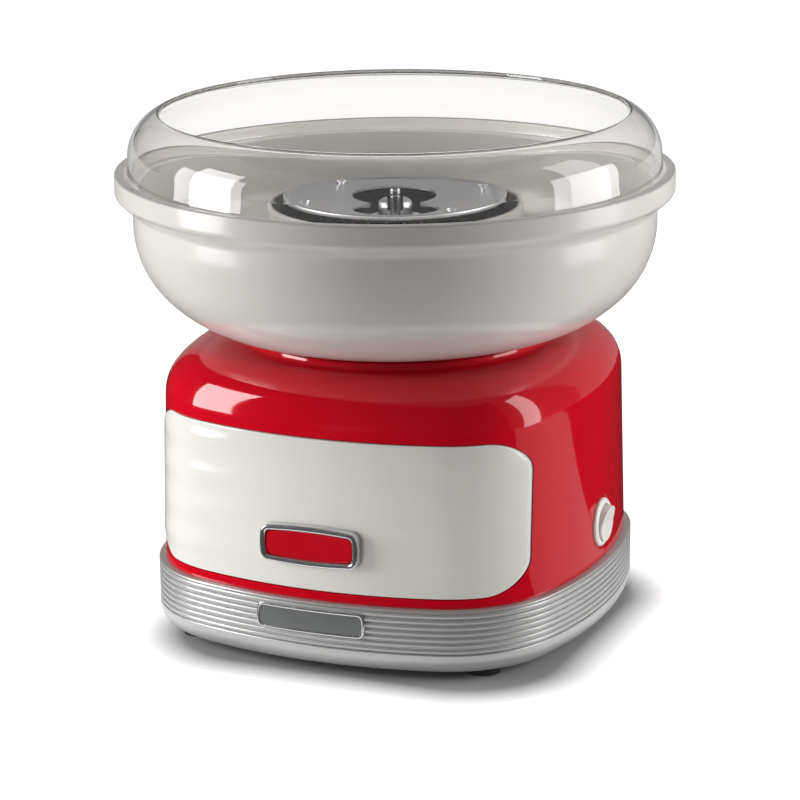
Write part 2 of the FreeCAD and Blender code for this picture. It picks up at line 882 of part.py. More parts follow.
def make_skirt():
    """Satin silver skirt with its stack of grooves and a round lower edge."""
    body = new_body("base_skirt")
    ring = sketch_on(body, "ring", offset=d.skirt_low)
    bowed_square(ring, d.skirt_proud)
    pad(body, ring, d.skirt_top - d.skirt_low)
    round_edges(body, d.skirt_round, level_at(d.skirt_low))
    hollow = sketch_on(body, "hollow", offset=d.skirt_top)
    bowed_square(hollow, -d.skirt_wall)
    pocket(body, hollow, d.skirt_top - d.skirt_low - d.skirt_lip_height)
    mouth = sketch_on(body, "mouth", offset=d.skirt_low)
    bowed_square(mouth, -d.skirt_wall - d.skirt_lip)
    pocket(body, mouth, d.skirt_lip_height * 2, upwards=True)
    groove = sketch_on(body, "groove", offset=groove_low)
    bowed_square(groove, d.skirt_proud - d.groove_depth)
    bowed_square(groove, d.skirt_proud + d.groove_depth)
    slot = pocket(body, groove, d.groove_width, upwards=True)
    row(body, [slot], "Z_Axis", d.rib_pitch * (d.rib_count - 1), d.rib_count)
    return body


def skirt_skin(name, back, front):
    """A sheet that follows the skirt's side, between two depths off the base's outline."""
    body = new_body(name)
    shape = sketch_on(body, "shape", offset=d.skirt_low)
    bowed_square(shape, front)
    bowed_square(shape, back)
    pad(body, shape, d.skirt_top - d.skirt_low)
    return body


def plate_field(name, inset):
    """The name plate's front view with bowed ends, drawn in by an inset."""
    body = new_body(name)
    face = sketch_on(body, "face", "XZ_Plane", d.half_depth - d.skirt_wall)
    half = d.plate_half_height - inset
    bow = d.plate_end_bow - inset
    end = d.plate_half_width - d.plate_end_bow + root(bow * bow - half * half)
    outline(face, (-end, plate_height - half), (end, plate_height - half, -bow),
            (end, plate_height + half), (-end, plate_height + half, -bow))
    pad(body, face, d.skirt_wall + d.skirt_proud + d.plate_proud * 2)
    return body


def make_name_plate():
    """Plain plate with a raised border, bowed to lie on the skirt's ribs."""
    face = d.skirt_proud + d.plate_proud
    plate = common("plate_blank", skirt_skin("plate_skin", d.skirt_proud + d.fit_gap / 2, face),
                   plate_field("plate_outline", 0))
    hollow = common("plate_hollow", skirt_skin("plate_depth", face - d.plate_sunk, face + PAST),
                    plate_field("plate_inside", d.plate_border))
    return cut("name_plate", plate, hollow)


def corner_circles(sketch, radius):
    """Draw a circle about the axis of each corner pillar."""
    for side, depth in CORNERS:
        circle(sketch, radius, pillar_x * side, pillar_y * depth)


def make_bottom_plate():
    """Bottom plate with vents and four hollow screw posts."""
    body = new_body("bottom_plate")
    sheet = sketch_on(body, "sheet", offset=plate_low)
    bowed_square(sheet, -d.skirt_wall - d.fit_gap)
    pad(body, sheet, d.plate_thickness)
    posts = sketch_on(body, "posts", offset=plate_low)
    corner_circles(posts, post_radius)
    pad(body, posts, post_top - plate_low)
    wells = sketch_on(body, "wells", offset=plate_low)
    corner_circles(wells, d.post_bore)
    pocket(body, wells, post_ledge - plate_low, upwards=True)
    holes = sketch_on(body, "holes", offset=post_ledge)
    corner_circles(holes, d.screw_radius + d.fit_gap)
    pocket(body, holes, pillar_foot - post_ledge, upwards=True)
    vent = sketch_on(body, "vent", offset=plate_low)
    first = -d.vent_pitch * (d.vent_count - 1) / 2
    rounded_rectangle(vent, d.vent_length / 2, d.vent_width / 2, d.vent_round, 0, first)
    slot = pocket(body, vent, d.plate_thickness * 2, upwards=True)
    row(body, [slot], "Y_Axis", d.vent_pitch * (d.vent_count - 1), d.vent_count)
    return body


def make_feet():
    """Four rubber feet, each plugged into a screw well of the bottom plate."""
    feet = []
    for name, (side, depth) in zip(FOOT_NAMES, CORNERS):
        x, y = pillar_x * side, pillar_y * depth
        tread = cylinder(f"{name}_tread", d.foot_radius, plate_low - d.fit_gap, x, y)
        plug = cylinder(f"{name}_plug", d.post_bore - d.fit_gap, plate_low + d.foot_plug, x, y)
        feet.append(fuse(name, [tread, plug]))
    return feet


# --- Switch and cord inlet -----------------------------------------------------------


def make_switch():
    """Round rocker switch: bezel, body, terminal blades and the rocker itself."""
    y, z = d.switch_depth_place, d.switch_height
    bezel = new_body("switch_bezel")
    section = sketch_on(bezel, "section", "XZ_Plane")
    step = d.switch_flange / 2
    outline(section, (d.switch_bore, d.fit_gap), (switch_flange_radius, d.fit_gap),
            (switch_flange_radius, step, step),
            (switch_flange_radius - step, d.switch_flange), (d.switch_bore, d.switch_flange))
    turned(bezel, section)
    place(bezel, switch_seat_x, y, z, UP_TO_X)

    barrel_blank = cylinder("switch_barrel", switch_body_radius, d.switch_body_length,
                            switch_seat_x - d.switch_body_length, y, z, UP_TO_X)
    barrel_well = cylinder("switch_well", d.switch_bore, rocker_radius + d.rocker_face,
                           rocker_axis_x - rocker_radius - d.fit_gap * 2, y, z, UP_TO_X)
    switch_body = cut("switch_body", barrel_blank, barrel_well)

    blades = []
    back = switch_seat_x - d.switch_body_length
    for index, shift in enumerate((-1, 0, 1)):
        blades.append(block(f"blade_{index}", d.blade_length, d.blade_width, d.blade_thickness,
                            back - d.blade_length, y - d.blade_width / 2,
                            z + d.blade_pitch * shift - d.blade_thickness / 2))
    terminals = group("switch_terminals", blades)

    ball = doc.addObject("Part::Sphere", "rocker_ball")
    bind(ball, Radius=rocker_radius)
    keel = new_body("rocker_keel")
    profile = sketch_on(keel, "profile", "XZ_Plane")
    reach = rocker_radius + d.fit_gap
    rise = reach * tangent(d.rocker_valley_angle)
    outline(profile, (-rocker_radius / 2, -reach), (d.rocker_face + rise, -reach),
            (d.rocker_face, 0), (d.rocker_face + rise, reach), (-rocker_radius / 2, reach))
    pad(keel, profile, reach * 2, symmetric=True)
    rocker = common("switch_rocker", ball, keel)
    upper_end_out = Rotation(Vector(0, -1, 0), d.rocker_rest_angle.value)
    place(rocker, rocker_axis_x, y, z, upper_end_out)
    rocker.setExpression("Placement.Rotation.Angle", d.rocker_rest_angle.text)
    return [bezel, switch_body, terminals, rocker]


def make_cord_inlet():
    """Cord bushing in the rear wall and the clamp bar behind it."""
    gland = new_body("cord_gland")
    section = sketch_on(gland, "section", "XZ_Plane")
    lip = d.gland_flange
    inner_end = d.gland_collar - d.gland_length
    outline(section, (d.cord_bore, inner_end), (gland_radius, inner_end),
            (gland_radius, d.fit_gap), (gland_flange_radius, d.fit_gap),
            (gland_flange_radius, lip / 2, lip), (gland_flange_radius - lip / 2, lip),
            (gland_radius + d.gland_cone, lip), (gland_radius, d.gland_collar),
            (d.cord_bore, d.gland_collar))
    turned(gland, section)
    place(gland, 0, gland_seat_y, d.inlet_height, UP_TO_Y)
    return [gland]


# --- Motor and its mounts -------------------------------------------------------------


def make_motor():
    """Motor can and end bell, hung under a plate on four rubber mounts."""
    bore = d.shaft_radius + d.running_gap
    edge = d.motor_edge
    can = new_body("motor_can")
    section = sketch_on(can, "section", "XZ_Plane")
    outline(section, (bore, motor_low), (d.motor_radius, motor_low),
            (d.motor_radius, motor_high - edge), (d.motor_radius - edge, motor_high),
            (d.motor_boss_radius, motor_high), (d.motor_boss_radius, bracket_top + d.seam),
            (bore, bracket_top + d.seam))
    turned(can, section)

    bell = new_body("motor_end_bell")
    cup = sketch_on(bell, "cup", "XZ_Plane")
    top = motor_low - d.fit_gap
    outline(cup, (bore, bell_low), (bell_radius - edge, bell_low),
            (bell_radius, bell_low + edge), (bell_radius, top), (bore, top))
    turned(bell, cup)
    window = sketch_on(bell, "window", offset=bell_low)
    circle(window, d.bell_window_radius, d.bell_window_circle, 0)
    polar(bell, [pocket(bell, window, motor_low - bell_low, upwards=True)], 4)

    bracket = new_body("motor_bracket")
    sheet = sketch_on(bracket, "sheet", offset=bracket_low)
    rounded_rectangle(sheet, d.bracket_half, d.bracket_half, d.bracket_corner)
    pad(bracket, sheet, d.bracket_thickness)
    through = d.bracket_thickness * 2
    centre = sketch_on(bracket, "centre", offset=bracket_low)
    circle(centre, d.motor_boss_radius + d.fit_gap)
    pocket(bracket, centre, through, upwards=True)
    corner = sketch_on(bracket, "corner", offset=bracket_low)
    circle(corner, d.grommet_bore, d.mount_offset, d.mount_offset)
    polar(bracket, [pocket(bracket, corner, through, upwards=True)], 4)
    opening = sketch_on(bracket, "opening", offset=bracket_low)
    rounded_rectangle(opening, d.bracket_window_half_width, d.bracket_window_half_height,
                      d.bracket_window_round, d.bracket_window_place)
    polar(bracket, [pocket(bracket, opening, through, upwards=True)], 4)

    grommets = []
    screws = []
    for index, (side, depth) in enumerate(CORNERS):
        x, y = d.mount_offset * side, d.mount_offset * depth
        sleeve = cylinder(f"grommet_sleeve_{index}", d.grommet_radius, d.grommet_height,
                          x, y, bracket_top + d.fit_gap)
        hollow = cylinder(f"grommet_hole_{index}", d.grommet_bore, leg_low - bracket_low,
                          x, y, bracket_low)
        grommets.append(cut(f"grommet_{index}", sleeve, hollow))
        screws.append(screw(f"mount_screw_{index}", x, y, bracket_low - d.fit_gap,
                            leg_low + d.screw_bite - bracket_low))
    return [can, bell, bracket, group("motor_mounts", grommets), group("motor_screws", screws)]


def screw(name, x, y, z, length):
    """A pan-head screw driven upwards, with its head under z."""
    head = cylinder(f"{name}_head", d.screw_head_radius, d.screw_head_height,
                    x, y, z - d.screw_head_height)
    shank = cylinder(f"{name}_shank", d.screw_radius, length, x, y, z)
    return fuse(name, [head, shank])


def make_base_screws():
    """Long screws that hold the bottom plate's posts to the housing's pillars."""
    low = post_ledge - d.fit_gap
    screws = [screw(f"base_screw_{index}", pillar_x * side, pillar_y * depth,
                    low, pillar_foot + d.screw_bite - low)
              for index, (side, depth) in enumerate(CORNERS)]
    return group("base_screws", screws)


def make_spindle():
    """Motor shaft with its rounded tip, drive pin, grip ring and fan."""
    shaft = new_body("shaft_blank")
    section = sketch_on(shaft, "section", "XZ_Plane")
    tip = d.shaft_tip_round
    groove_low = ring_height - d.ring_groove
    groove_high = ring_height + d.ring_groove
    groove_radius = d.shaft_radius - d.ring_groove
    outline(section, (0, shaft_low), (d.shaft_radius, shaft_low),
            (d.shaft_radius, groove_low), (groove_radius, groove_low),
            (groove_radius, groove_high), (d.shaft_radius, groove_high),
            (d.shaft_radius, shaft_top - tip, -tip), (d.shaft_radius - tip, shaft_top),
            (0, shaft_top))
    turned(shaft, section)
    angle = d.head_angle
    along = Rotation(Vector(0, 0, 1), angle.value) * UP_TO_X
    half = d.hub_spigot_radius - d.pin_inset
    pin_end = (-half * cosine(angle), -half * sine(angle), pin_height)
    drilled = cylinder("pin_hole", d.pin_radius + d.running_gap / 2, half * 2,
                       *pin_end, along)
    pin = cylinder("drive_pin", d.pin_radius, half * 2, *pin_end, along)
    ring = doc.addObject("Part::Torus", "grip_ring")
    bind(ring, Radius1=groove_radius + d.ring_groove / 2, Radius2=d.ring_groove / 2)
    place(ring, 0, 0, ring_height)
    return [cut("motor_shaft", shaft, drilled), pin, ring, make_fan()]


def make_fan():
    """Moulded fan under the motor: a hub with pitched blades."""
    hub = cylinder("fan_hub", d.fan_hub_radius, d.fan_height, 0, 0, fan_low)
    bore = cylinder("fan_bore", d.shaft_radius + d.running_gap / 2, d.fan_height * 2,
                    0, 0, fan_low - d.fan_height / 2)
    root_radius = d.fan_hub_radius / 2
    blades = []
    foot = fan_low + (d.fan_height - d.fan_blade_width) / 2
    pitch = Rotation(Vector(1, 0, 0), d.fan_blade_pitch.value)
    for index in range(SIZES["fan_blades"]):
        turn = FULL_TURN / SIZES["fan_blades"] * index
        blades.append(block(f"fan_blade_{index}", d.fan_radius - root_radius,
                            d.fan_blade_thickness, d.fan_blade_width,
                            *on_circle(root_radius, turn), foot,
                            Rotation(Vector(0, 0, 1), turn) * pitch))
    return cut("cooling_fan", fuse("fan_wheel", [hub] + blades), bore)


# --- Heater tower and heater ----------------------------------------------------------


def make_tower():
    """Black tower: it hangs the motor plate from its legs and holds the heater on top."""
    body = new_body("tower_shell")
    section = sketch_on(body, "section", "XZ_Plane")
    radius = d.heater_tower_radius
    inner = radius - d.tower_wall
    flange_radius = radius + d.tower_flange_reach
    under = tower_top - d.tower_wall
    bush_hole = d.bush_radius + d.fit_gap / 2
    boss = bush_hole + d.bush_boss_wall
    outline(section, (inner, tower_flange_low), (flange_radius, tower_flange_low),
            (flange_radius, tower_flange_top), (radius, tower_flange_top), (radius, under),
            (inner, tower_top), (bush_hole, tower_top), (bush_hole, bush_low),
            (boss, bush_low), (boss, under), (inner - d.tower_wall, under),
            (inner, under - d.tower_wall))
    turned(body, section)
    legs = []
    for index, (side, depth) in enumerate(CORNERS):
        x, y = d.mount_offset * side, d.mount_offset * depth
        turn = math.degrees(math.atan2(depth, side))
        legs.append(cylinder(f"tower_leg_{index}", d.leg_radius,
                             tower_flange_top - leg_low, x, y, leg_low))
        legs.append(web(f"tower_web_{index}",
                        d.heater_tower_radius - d.mount_offset * math.sqrt(2),
                        d.leg_radius, d.web_depth + d.tower_flange, x, y,
                        tower_flange_top - d.web_depth, turn))
    holes = [cylinder(f"leg_pilot_{index}", d.screw_radius + d.fit_gap / 2, d.screw_bite + d.seam,
                      d.mount_offset * side, d.mount_offset * depth, leg_low)
             for index, (side, depth) in enumerate(CORNERS)]
    holes += [cylinder(f"flange_hole_{index}", d.screw_radius + d.fit_gap,
                       d.tower_flange + PAST * 2, *on_circle(tower_screw_circle, angle),
                       tower_flange_low - PAST)
              for index, angle in enumerate(TOWER_SCREW_ANGLES)]
    holes += element_passages("tower", under, tower_top)
    tower = cut("heater_tower", fuse("tower_blank", [body] + legs), holes)
    screws = [screw(f"tower_screw_{index}", *on_circle(tower_screw_circle, angle),
                    tower_flange_low - d.fit_gap, d.tower_screw_bite)
              for index, angle in enumerate(TOWER_SCREW_ANGLES)]
    return [tower, group("tower_screws", screws)]


def element_passages(name, low, high):
    """Holes for the two legs of the heating element."""
    return [cylinder(f"{name}_passage_{index}", d.leg_hole_radius, high - low + PAST * 2,
                     *on_circle(d.element_circle, d.element_leg_angle * side), low - PAST)
            for index, side in enumerate((-1, 1))]


def make_heater():
    """Steel cup, ring element on ceramic posts, thermal cut-out and shaft bush."""
    cup = new_body("cup_blank")
    section = sketch_on(cup, "section", "XZ_Plane")
    hole = bush_flange_radius + d.fit_gap
    lip = d.cup_sheet * 2
    inner = cup_radius - d.cup_sheet
    inside = cup_floor + d.cup_sheet
    cup_top = cup_floor + d.cup_height
    outline(section, (hole, cup_floor), (inner - lip, cup_floor, -lip - d.cup_sheet),
            (cup_radius, cup_floor + lip + d.cup_sheet), (cup_radius, cup_top),
            (inner, cup_top), (inner, inside + lip, lip), (inner - lip, inside), (hole, inside))
    turned(cup, section)
    heater_cup = cut("heater_cup", cup, element_passages("cup", cup_floor, inside))

    ring = doc.addObject("Part::Torus", "element_ring")
    bind(ring, Radius1=d.element_circle, Radius2=d.element_radius)
    place(ring, 0, 0, element_height)
    legs = [cylinder(f"element_leg_{index}", d.element_leg_radius, d.element_leg_depth,
                     *on_circle(d.element_circle, d.element_leg_angle * side),
                     element_height - d.element_leg_depth)
            for index, side in enumerate((-1, 1))]
    element = fuse("heater_element", [ring] + legs)

    low = inside + d.fit_gap
    tall = element_height - d.element_radius - d.fit_gap - low
    posts = [cylinder(f"insulator_{angle}", d.insulator_radius, tall,
                      *on_circle(d.element_circle, angle), low) for angle in POST_ANGLES]
    insulators = group("ceramic_posts", posts)

    cutout = cylinder("thermal_cutout", d.cutout_radius, d.cutout_thickness, -d.cutout_place, 0,
                      tower_top - d.tower_wall - d.fit_gap - d.cutout_thickness)

    bush = new_body("shaft_bush")
    sleeve = sketch_on(bush, "sleeve", "XZ_Plane")
    seat = tower_top + d.fit_gap
    bore = d.shaft_radius + d.running_gap
    outline(sleeve, (bore, bush_low), (d.bush_radius, bush_low), (d.bush_radius, seat),
            (bush_flange_radius, seat), (bush_flange_radius, seat + d.bush_flange),
            (bore, seat + d.bush_flange))
    turned(bush, sleeve)
    return [heater_cup, element, insulators, cutout, bush]


# --- Floss head -------------------------------------------------------------------------


def head_holes(name, low, high):
    """Rivet holes through a plate of the head."""
    return [cylinder(f"{name}_hole_{index}", d.rivet_radius + d.joint_gap,
                     high - low + PAST * 2, *on_circle(rivet_circle, angle), low - PAST)
            for index, angle in enumerate(rivet_angles())]


def rivet_angles():
    """Where the head's four rivets stand, in two opposite pairs."""
    pair = (d.rivet_first_angle, d.rivet_second_angle)
    return pair + tuple(angle + HALF_TURN for angle in pair)


def make_head():
    """Spun floss head: dished top plate, slotted band, pan, slotted hub and rivets."""
    top = new_body("top_blank")
    section = sketch_on(top, "section", "XZ_Plane")
    rim_inner = head_radius - d.head_rim_width
    edge = d.head_rim_width / 2
    dish_rim = head_rim_top - d.head_lip
    centre = dish_rim - d.head_dish
    dish_bow = (rim_inner * rim_inner + d.head_dish * d.head_dish) / (d.head_dish * 2)
    outline(section, (hub_radius, centre - d.head_sheet, -dish_bow),
            (rim_inner, head_rim_low), (head_radius, head_rim_low),
            (head_radius, head_rim_top - edge, -edge),
            (head_radius - edge, head_rim_top, -d.head_rim_width),
            (rim_inner, dish_rim), (hub_radius, dish_rim))
    turned(top, section)
    hollow = doc.addObject("Part::Sphere", "dish")
    place(bind(hollow, Radius=dish_bow), 0, 0, centre + dish_bow)
    low = centre - d.head_sheet - PAST
    windows = [cylinder(f"window_{index}", d.window_radius, head_rim_top - low,
                        *on_circle(d.window_offset, d.head_angle + HALF_TURN * index), low)
               for index in range(2)]
    top_plate = cut("head_top_plate", top,
                    [hollow] + windows + head_holes("top", centre, head_rim_top))

    band = new_body("emitter_band")
    strip = sketch_on(band, "strip", "XZ_Plane")
    band_radius = head_radius - d.band_inset
    band_top = head_rim_low - d.joint_gap
    outline(strip, (band_radius - d.band_wall, band_low), (band_radius, band_low),
            (band_radius, band_top), (band_radius - d.band_wall, band_top))
    turned(band, strip)
    slot = sketch_on(band, "slot", "YZ_Plane", band_radius - d.band_wall - PAST)
    rectangle(slot, d.slot_width / 2, d.slot_height / 2, 0, (band_low + band_top) / 2)
    polar(band, [pocket(band, slot, d.band_wall + PAST * 2, upwards=True)], d.slot_count)

    pan = new_body("pan_blank")
    dish = sketch_on(pan, "dish", "XZ_Plane")
    hole = d.hub_spigot_radius + d.joint_gap
    corner = d.pan_corner
    high = band_low - d.joint_gap
    floor = pan_low + d.head_sheet
    wall = pan_radius - d.head_sheet
    outline(dish, (hole, pan_low), (pan_radius - corner, pan_low, -corner),
            (pan_radius, pan_low + corner), (pan_radius, high), (wall, high),
            (wall, pan_low + corner, corner - d.head_sheet), (pan_radius - corner, floor),
            (hole, floor))
    turned(pan, dish)
    bottom_pan = cut("head_bottom_pan", pan, head_holes("pan", pan_low, floor))

    rivets = [make_rivet(f"rivet_{index}", angle) for index, angle in enumerate(rivet_angles())]
    return [top_plate, band, bottom_pan, make_hub(floor), group("head_rivets", rivets)]


def make_rivet(name, angle):
    """A rivet with a shoulder sleeve that holds the plates apart."""
    x, y = on_circle(rivet_circle, angle)
    seat = head_rim_top - d.rivet_head_height / 2
    upper = cylinder(f"{name}_upper", d.rivet_head_radius, d.rivet_head_height, x, y, seat)
    lower = cylinder(f"{name}_lower", d.rivet_head_radius, d.rivet_head_height, x, y,
                     pan_low - d.rivet_head_height - d.joint_gap)
    shank = cylinder(f"{name}_shank", d.rivet_radius, seat - pan_low + d.rivet_head_height / 2,
                     x, y, pan_low - d.rivet_head_height / 2)
    return fuse(name, [upper, lower, shank])


def make_hub(floor):
    """Slotted hub that drops over the shaft and sits astride the drive pin."""
    hub = new_body("hub_blank")
    section = sketch_on(hub, "section", "XZ_Plane")
    flange_radius = hub_radius + d.hub_flange_reach
    bore = d.shaft_radius + d.running_gap
    seat = floor + d.joint_gap
    outline(section, (bore, pan_low), (d.hub_spigot_radius, pan_low),
            (d.hub_spigot_radius, seat), (flange_radius, seat),
            (flange_radius, seat + d.hub_flange), (hub_radius, seat + d.hub_flange),
            (hub_radius, hub_top - d.hub_dome, -d.hub_dome_round),
            (hub_radius - d.hub_dome, hub_top), (bore, hub_top))
    turned(hub, section)
    grip = hub_slot("grip", hub_radius + PAST, d.hub_slot, seat + d.hub_flange,
                    hub_top + PAST)
    pin_way = hub_slot("pin", d.hub_spigot_radius + d.joint_gap, d.pin_radius * 2 + d.fit_gap,
                       pan_low - PAST, pin_height + d.pin_radius + d.fit_gap)
    return cut("head_hub", hub, [grip, pin_way])


def hub_slot(name, reach, width, low, high):
    """A slot right across the hub, in line with the drive pin."""
    angle = d.head_angle
    back_x = width * sine(angle) / 2 - reach * cosine(angle)
    back_y = -width * cosine(angle) / 2 - reach * sine(angle)
    return block(f"hub_{name}_slot", reach * 2, width, high - low, back_x, back_y, low,
                 Rotation(Vector(0, 0, 1), angle.value))


# --- Catch bowl and guard -----------------------------------------------------------------


def make_bowl():
    """White catch bowl with a chimney for the tower and a rebate for the guard."""
    bowl = new_body("catch_bowl")
    section = sketch_on(bowl, "section", "XZ_Plane")
    floor = bowl_low + d.bowl_wall
    belly_height = bowl_low + d.belly_rise
    haunch_height = bowl_low + d.haunch_rise
    chimney_top = bowl_low + d.chimney_height
    wall = d.bowl_radius - d.flange_reach
    under = bowl_top - d.flange_depth
    bevel = under - d.flange_bevel_depth
    belly_x = wall - d.belly_bow
    drop = belly_height - haunch_height
    haunch_x = belly_x + root(d.belly_bow * d.belly_bow - drop * drop)
    share = (d.belly_bow - d.bowl_wall) / d.belly_bow
    inner_haunch_x = belly_x + (haunch_x - belly_x) * share
    inner_haunch_z = belly_height - drop * share
    inner_wall = wall - d.bowl_wall
    rebate = d.bowl_radius - d.rebate_rim
    chimney = chimney_bore + d.chimney_wall
    edge = d.bowl_edge
    shelf = bowl_top - d.rebate_depth
    outline(section, (chimney_bore, bowl_low), (d.bowl_foot_radius, bowl_low, -d.haunch_bow),
            (haunch_x, haunch_height, -d.belly_bow), (wall, belly_height),
            (wall, bevel - d.flange_slope), (d.bowl_radius - d.flange_bevel, bevel),
            (d.bowl_radius, under), (d.bowl_radius, bowl_top - edge, -edge),
            (d.bowl_radius - edge, bowl_top), (rebate, bowl_top), (rebate, shelf),
            (inner_wall, shelf), (inner_wall, belly_height, d.belly_bow - d.bowl_wall),
            (inner_haunch_x, inner_haunch_z, d.haunch_bow - d.bowl_wall),
            (d.bowl_foot_radius, floor), (chimney + d.chimney_root, floor, d.chimney_root),
            (chimney, floor + d.chimney_root), (chimney, chimney_top - edge, -edge),
            (chimney - edge, chimney_top), (chimney_bore, chimney_top))
    turned(bowl, section)
    return bowl


def make_guard():
    """Clear ring in the bowl's rebate, curving in to an open mouth."""
    guard = new_body("guard_ring")
    section = sketch_on(guard, "section", "XZ_Plane")
    foot = bowl_top - d.rebate_depth + d.seat_gap
    foot_radius = d.bowl_radius - d.rebate_rim - d.seat_gap
    waist_radius = foot_radius - d.guard_lean
    centre = waist_radius - d.guard_bend
    waist = bowl_top + d.guard_foot
    rise = d.guard_rise
    mouth = centre + root(d.guard_bend * d.guard_bend - rise * rise)
    share = (d.guard_bend - d.guard_wall) / d.guard_bend
    outline(section, (foot_radius - d.guard_wall, foot), (foot_radius, foot),
            (waist_radius, waist, -d.guard_bend), (mouth, waist + rise),
            (centre + (mouth - centre) * share, waist + rise * share,
             d.guard_bend - d.guard_wall),
            (waist_radius - d.guard_wall, waist))
    turned(guard, section)
    return guard


# --- Assembly --------------------------------------------------------------------------


def main():
    parts = [make_housing(), make_front_panel()]
    parts += make_badge()
    parts += [make_skirt(), make_name_plate(), make_bottom_plate()]
    parts += make_feet()
    parts += make_switch()
    parts += make_cord_inlet()
    parts += make_motor()
    parts += [make_base_screws()]
    parts += make_spindle()
    parts += make_tower()
    parts += make_heater()
    parts += make_head()
    parts += [make_bowl(), make_guard()]
    doc.recompute()
    check_and_write(parts)


def check_and_write(parts):
    """Stop on a failed object, then write each sub-part as a STEP file."""
    for thing in doc.Objects:
        if "Invalid" in thing.State or "Error" in thing.State:
            raise RuntimeError(f"{thing.Name} failed: {thing.State}")
    os.makedirs("parts", exist_ok=True)
    for part in parts:
        part.Label = part.Name
        shape = part.Shape
        if shape.isNull() or not shape.isValid() or not shape.Solids:
            raise RuntimeError(f"{part.Label} has no valid solid")
        shape.exportStep(f"parts/{part.Label}.step")
        box = shape.optimalBoundingBox()
        print(f"{part.Label:20s} {len(shape.Solids)} solid(s) {shape.Volume / 1000:8.2f} cm3 "
              f"x {box.XMin:.1f}..{box.XMax:.1f} y {box.YMin:.1f}..{box.YMax:.1f} "
              f"z {box.ZMin:.1f}..{box.ZMax:.1f}")


main()
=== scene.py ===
"""Looks of a table-top cotton candy machine, dressed on its CAD frame.

Sizes are in millimetres and become metres when a mesh is made. +Z is up, the front
looks along -Y and the switch is on the +X side.
"""

import logging
import math
from collections.abc import Callable, Iterable, Sequence
from dataclasses import dataclass, replace
from enum import Enum

import bmesh
import bpy
from mathutils import Matrix, Vector


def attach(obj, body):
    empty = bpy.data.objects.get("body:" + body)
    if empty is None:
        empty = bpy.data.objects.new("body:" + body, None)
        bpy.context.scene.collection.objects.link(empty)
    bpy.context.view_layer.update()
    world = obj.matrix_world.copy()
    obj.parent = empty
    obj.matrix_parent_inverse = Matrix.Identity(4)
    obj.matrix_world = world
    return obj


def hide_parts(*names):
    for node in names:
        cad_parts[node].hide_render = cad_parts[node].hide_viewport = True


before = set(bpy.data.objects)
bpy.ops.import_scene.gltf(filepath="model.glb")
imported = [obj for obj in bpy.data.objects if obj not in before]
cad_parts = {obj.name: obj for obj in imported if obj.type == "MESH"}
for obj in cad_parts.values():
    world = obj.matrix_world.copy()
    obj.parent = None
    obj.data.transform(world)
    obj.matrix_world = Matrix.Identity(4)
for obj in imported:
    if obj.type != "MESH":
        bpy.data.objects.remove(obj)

MM = 0.001
TINY = 1e-6  # radius below which a circle is a point
SHARP = 35.0  # edges that turn by more degrees stay sharp
INMOST = 0.98  # inset of a slab's innermost row, as a share of its half size
WAVE_TURN = 20.0  # radians that a wave texture turns by in one unit
LOG = logging.getLogger("cotton_candy_machine")


def linear(hex_code: str) -> tuple[float, float, float, float]:
    """Turn an sRGB hex value into linear RGBA.

    Args:
        hex_code: A colour such as "#c8041c".

    Returns:
        Its linear red, green and blue, and an alpha of one.
    """
    shares = [int(hex_code[at:at + 2], 16) / 255 for at in (1, 3, 5)]
    red, green, blue = (
        share / 12.92 if share <= 0.04045 else ((share + 0.055) / 1.055) ** 2.4
        for share in shares
    )
    return red, green, blue, 1.0


def add_node(
    tree: bpy.types.NodeTree,
    kind: str,
    inputs: dict[str | int, object] | None = None,
    **settings: object,
) -> bpy.types.Node:
    """Add a node with its settings, values and links.

    Args:
        tree: The tree that the node joins.
        kind: The node's type name.
        inputs: Socket name or number to a value, or to an output socket to link.
        **settings: Attributes of the node, such as operation.

    Returns:
        The new node.
    """
    node = tree.nodes.new(kind)
    for name, value in settings.items():
        setattr(node, name, value)
    for key, value in (inputs or {}).items():
        if isinstance(value, bpy.types.NodeSocket):
            tree.links.new(value, node.inputs[key])
        else:
            node.inputs[key].default_value = value
    return node


def blank_tree(owner: bpy.types.Material | bpy.types.World) -> bpy.types.NodeTree:
    """Switch on the nodes of a material or world and clear them.

    Args:
        owner: What the nodes belong to.

    Returns:
        Its empty tree.
    """
    owner.use_nodes = True
    owner.node_tree.nodes.clear()
    return owner.node_tree


def placed(name: str, data: bpy.types.ID) -> bpy.types.Object:
    """Put a mesh, light or camera into the scene.

    Args:
        name: The object's name.
        data: What it shows.

    Returns:
        The new object, at the origin.
    """
    item = bpy.data.objects.new(name, data)
    bpy.context.scene.collection.objects.link(item)
    return item


# --- Sections and meshes ---------------------------------------------------------------


def arc(
    centre: Sequence[float], radius: float, start: float, end: float, steps: int
) -> list[tuple[float, float]]:
    """Points along an arc, both ends included.

    Args:
        centre: The arc's centre.
        radius: Its radius.
        start: Angle of its first point in radians.
        end: Angle of its last point.
        steps: Pieces that it is cut into.

    Returns:
        The points.
    """
    angles = [start + (end - start) * step / steps for step in range(steps + 1)]
    return [(centre[0] + radius * math.cos(angle), centre[1] + radius * math.sin(angle))
            for angle in angles]


def circle(radius: float, count: int) -> list[tuple[float, float]]:
    """Points round the origin, or the origin alone where the radius is none."""
    return arc((0.0, 0.0), radius, 0.0, math.tau, count)[:-1] if radius > TINY else [(0.0, 0.0)]


def eased(reach: float, top: float, ease: float) -> list[tuple[float, float]]:
    """An outer edge with a small rounding, from its side to its top."""
    near = 0.3 * ease
    return [(reach, top - ease), (reach - near, top - near), (reach - ease, top)]


@dataclass(frozen=True)
class Corner:
    """One corner of a section."""

    x: float  # distance from the axis
    z: float  # height
    bow: float = 0.0  # radius of the side that leaves the corner, positive to its left
    soft: float = 0.0  # how far from the corner its rounding starts


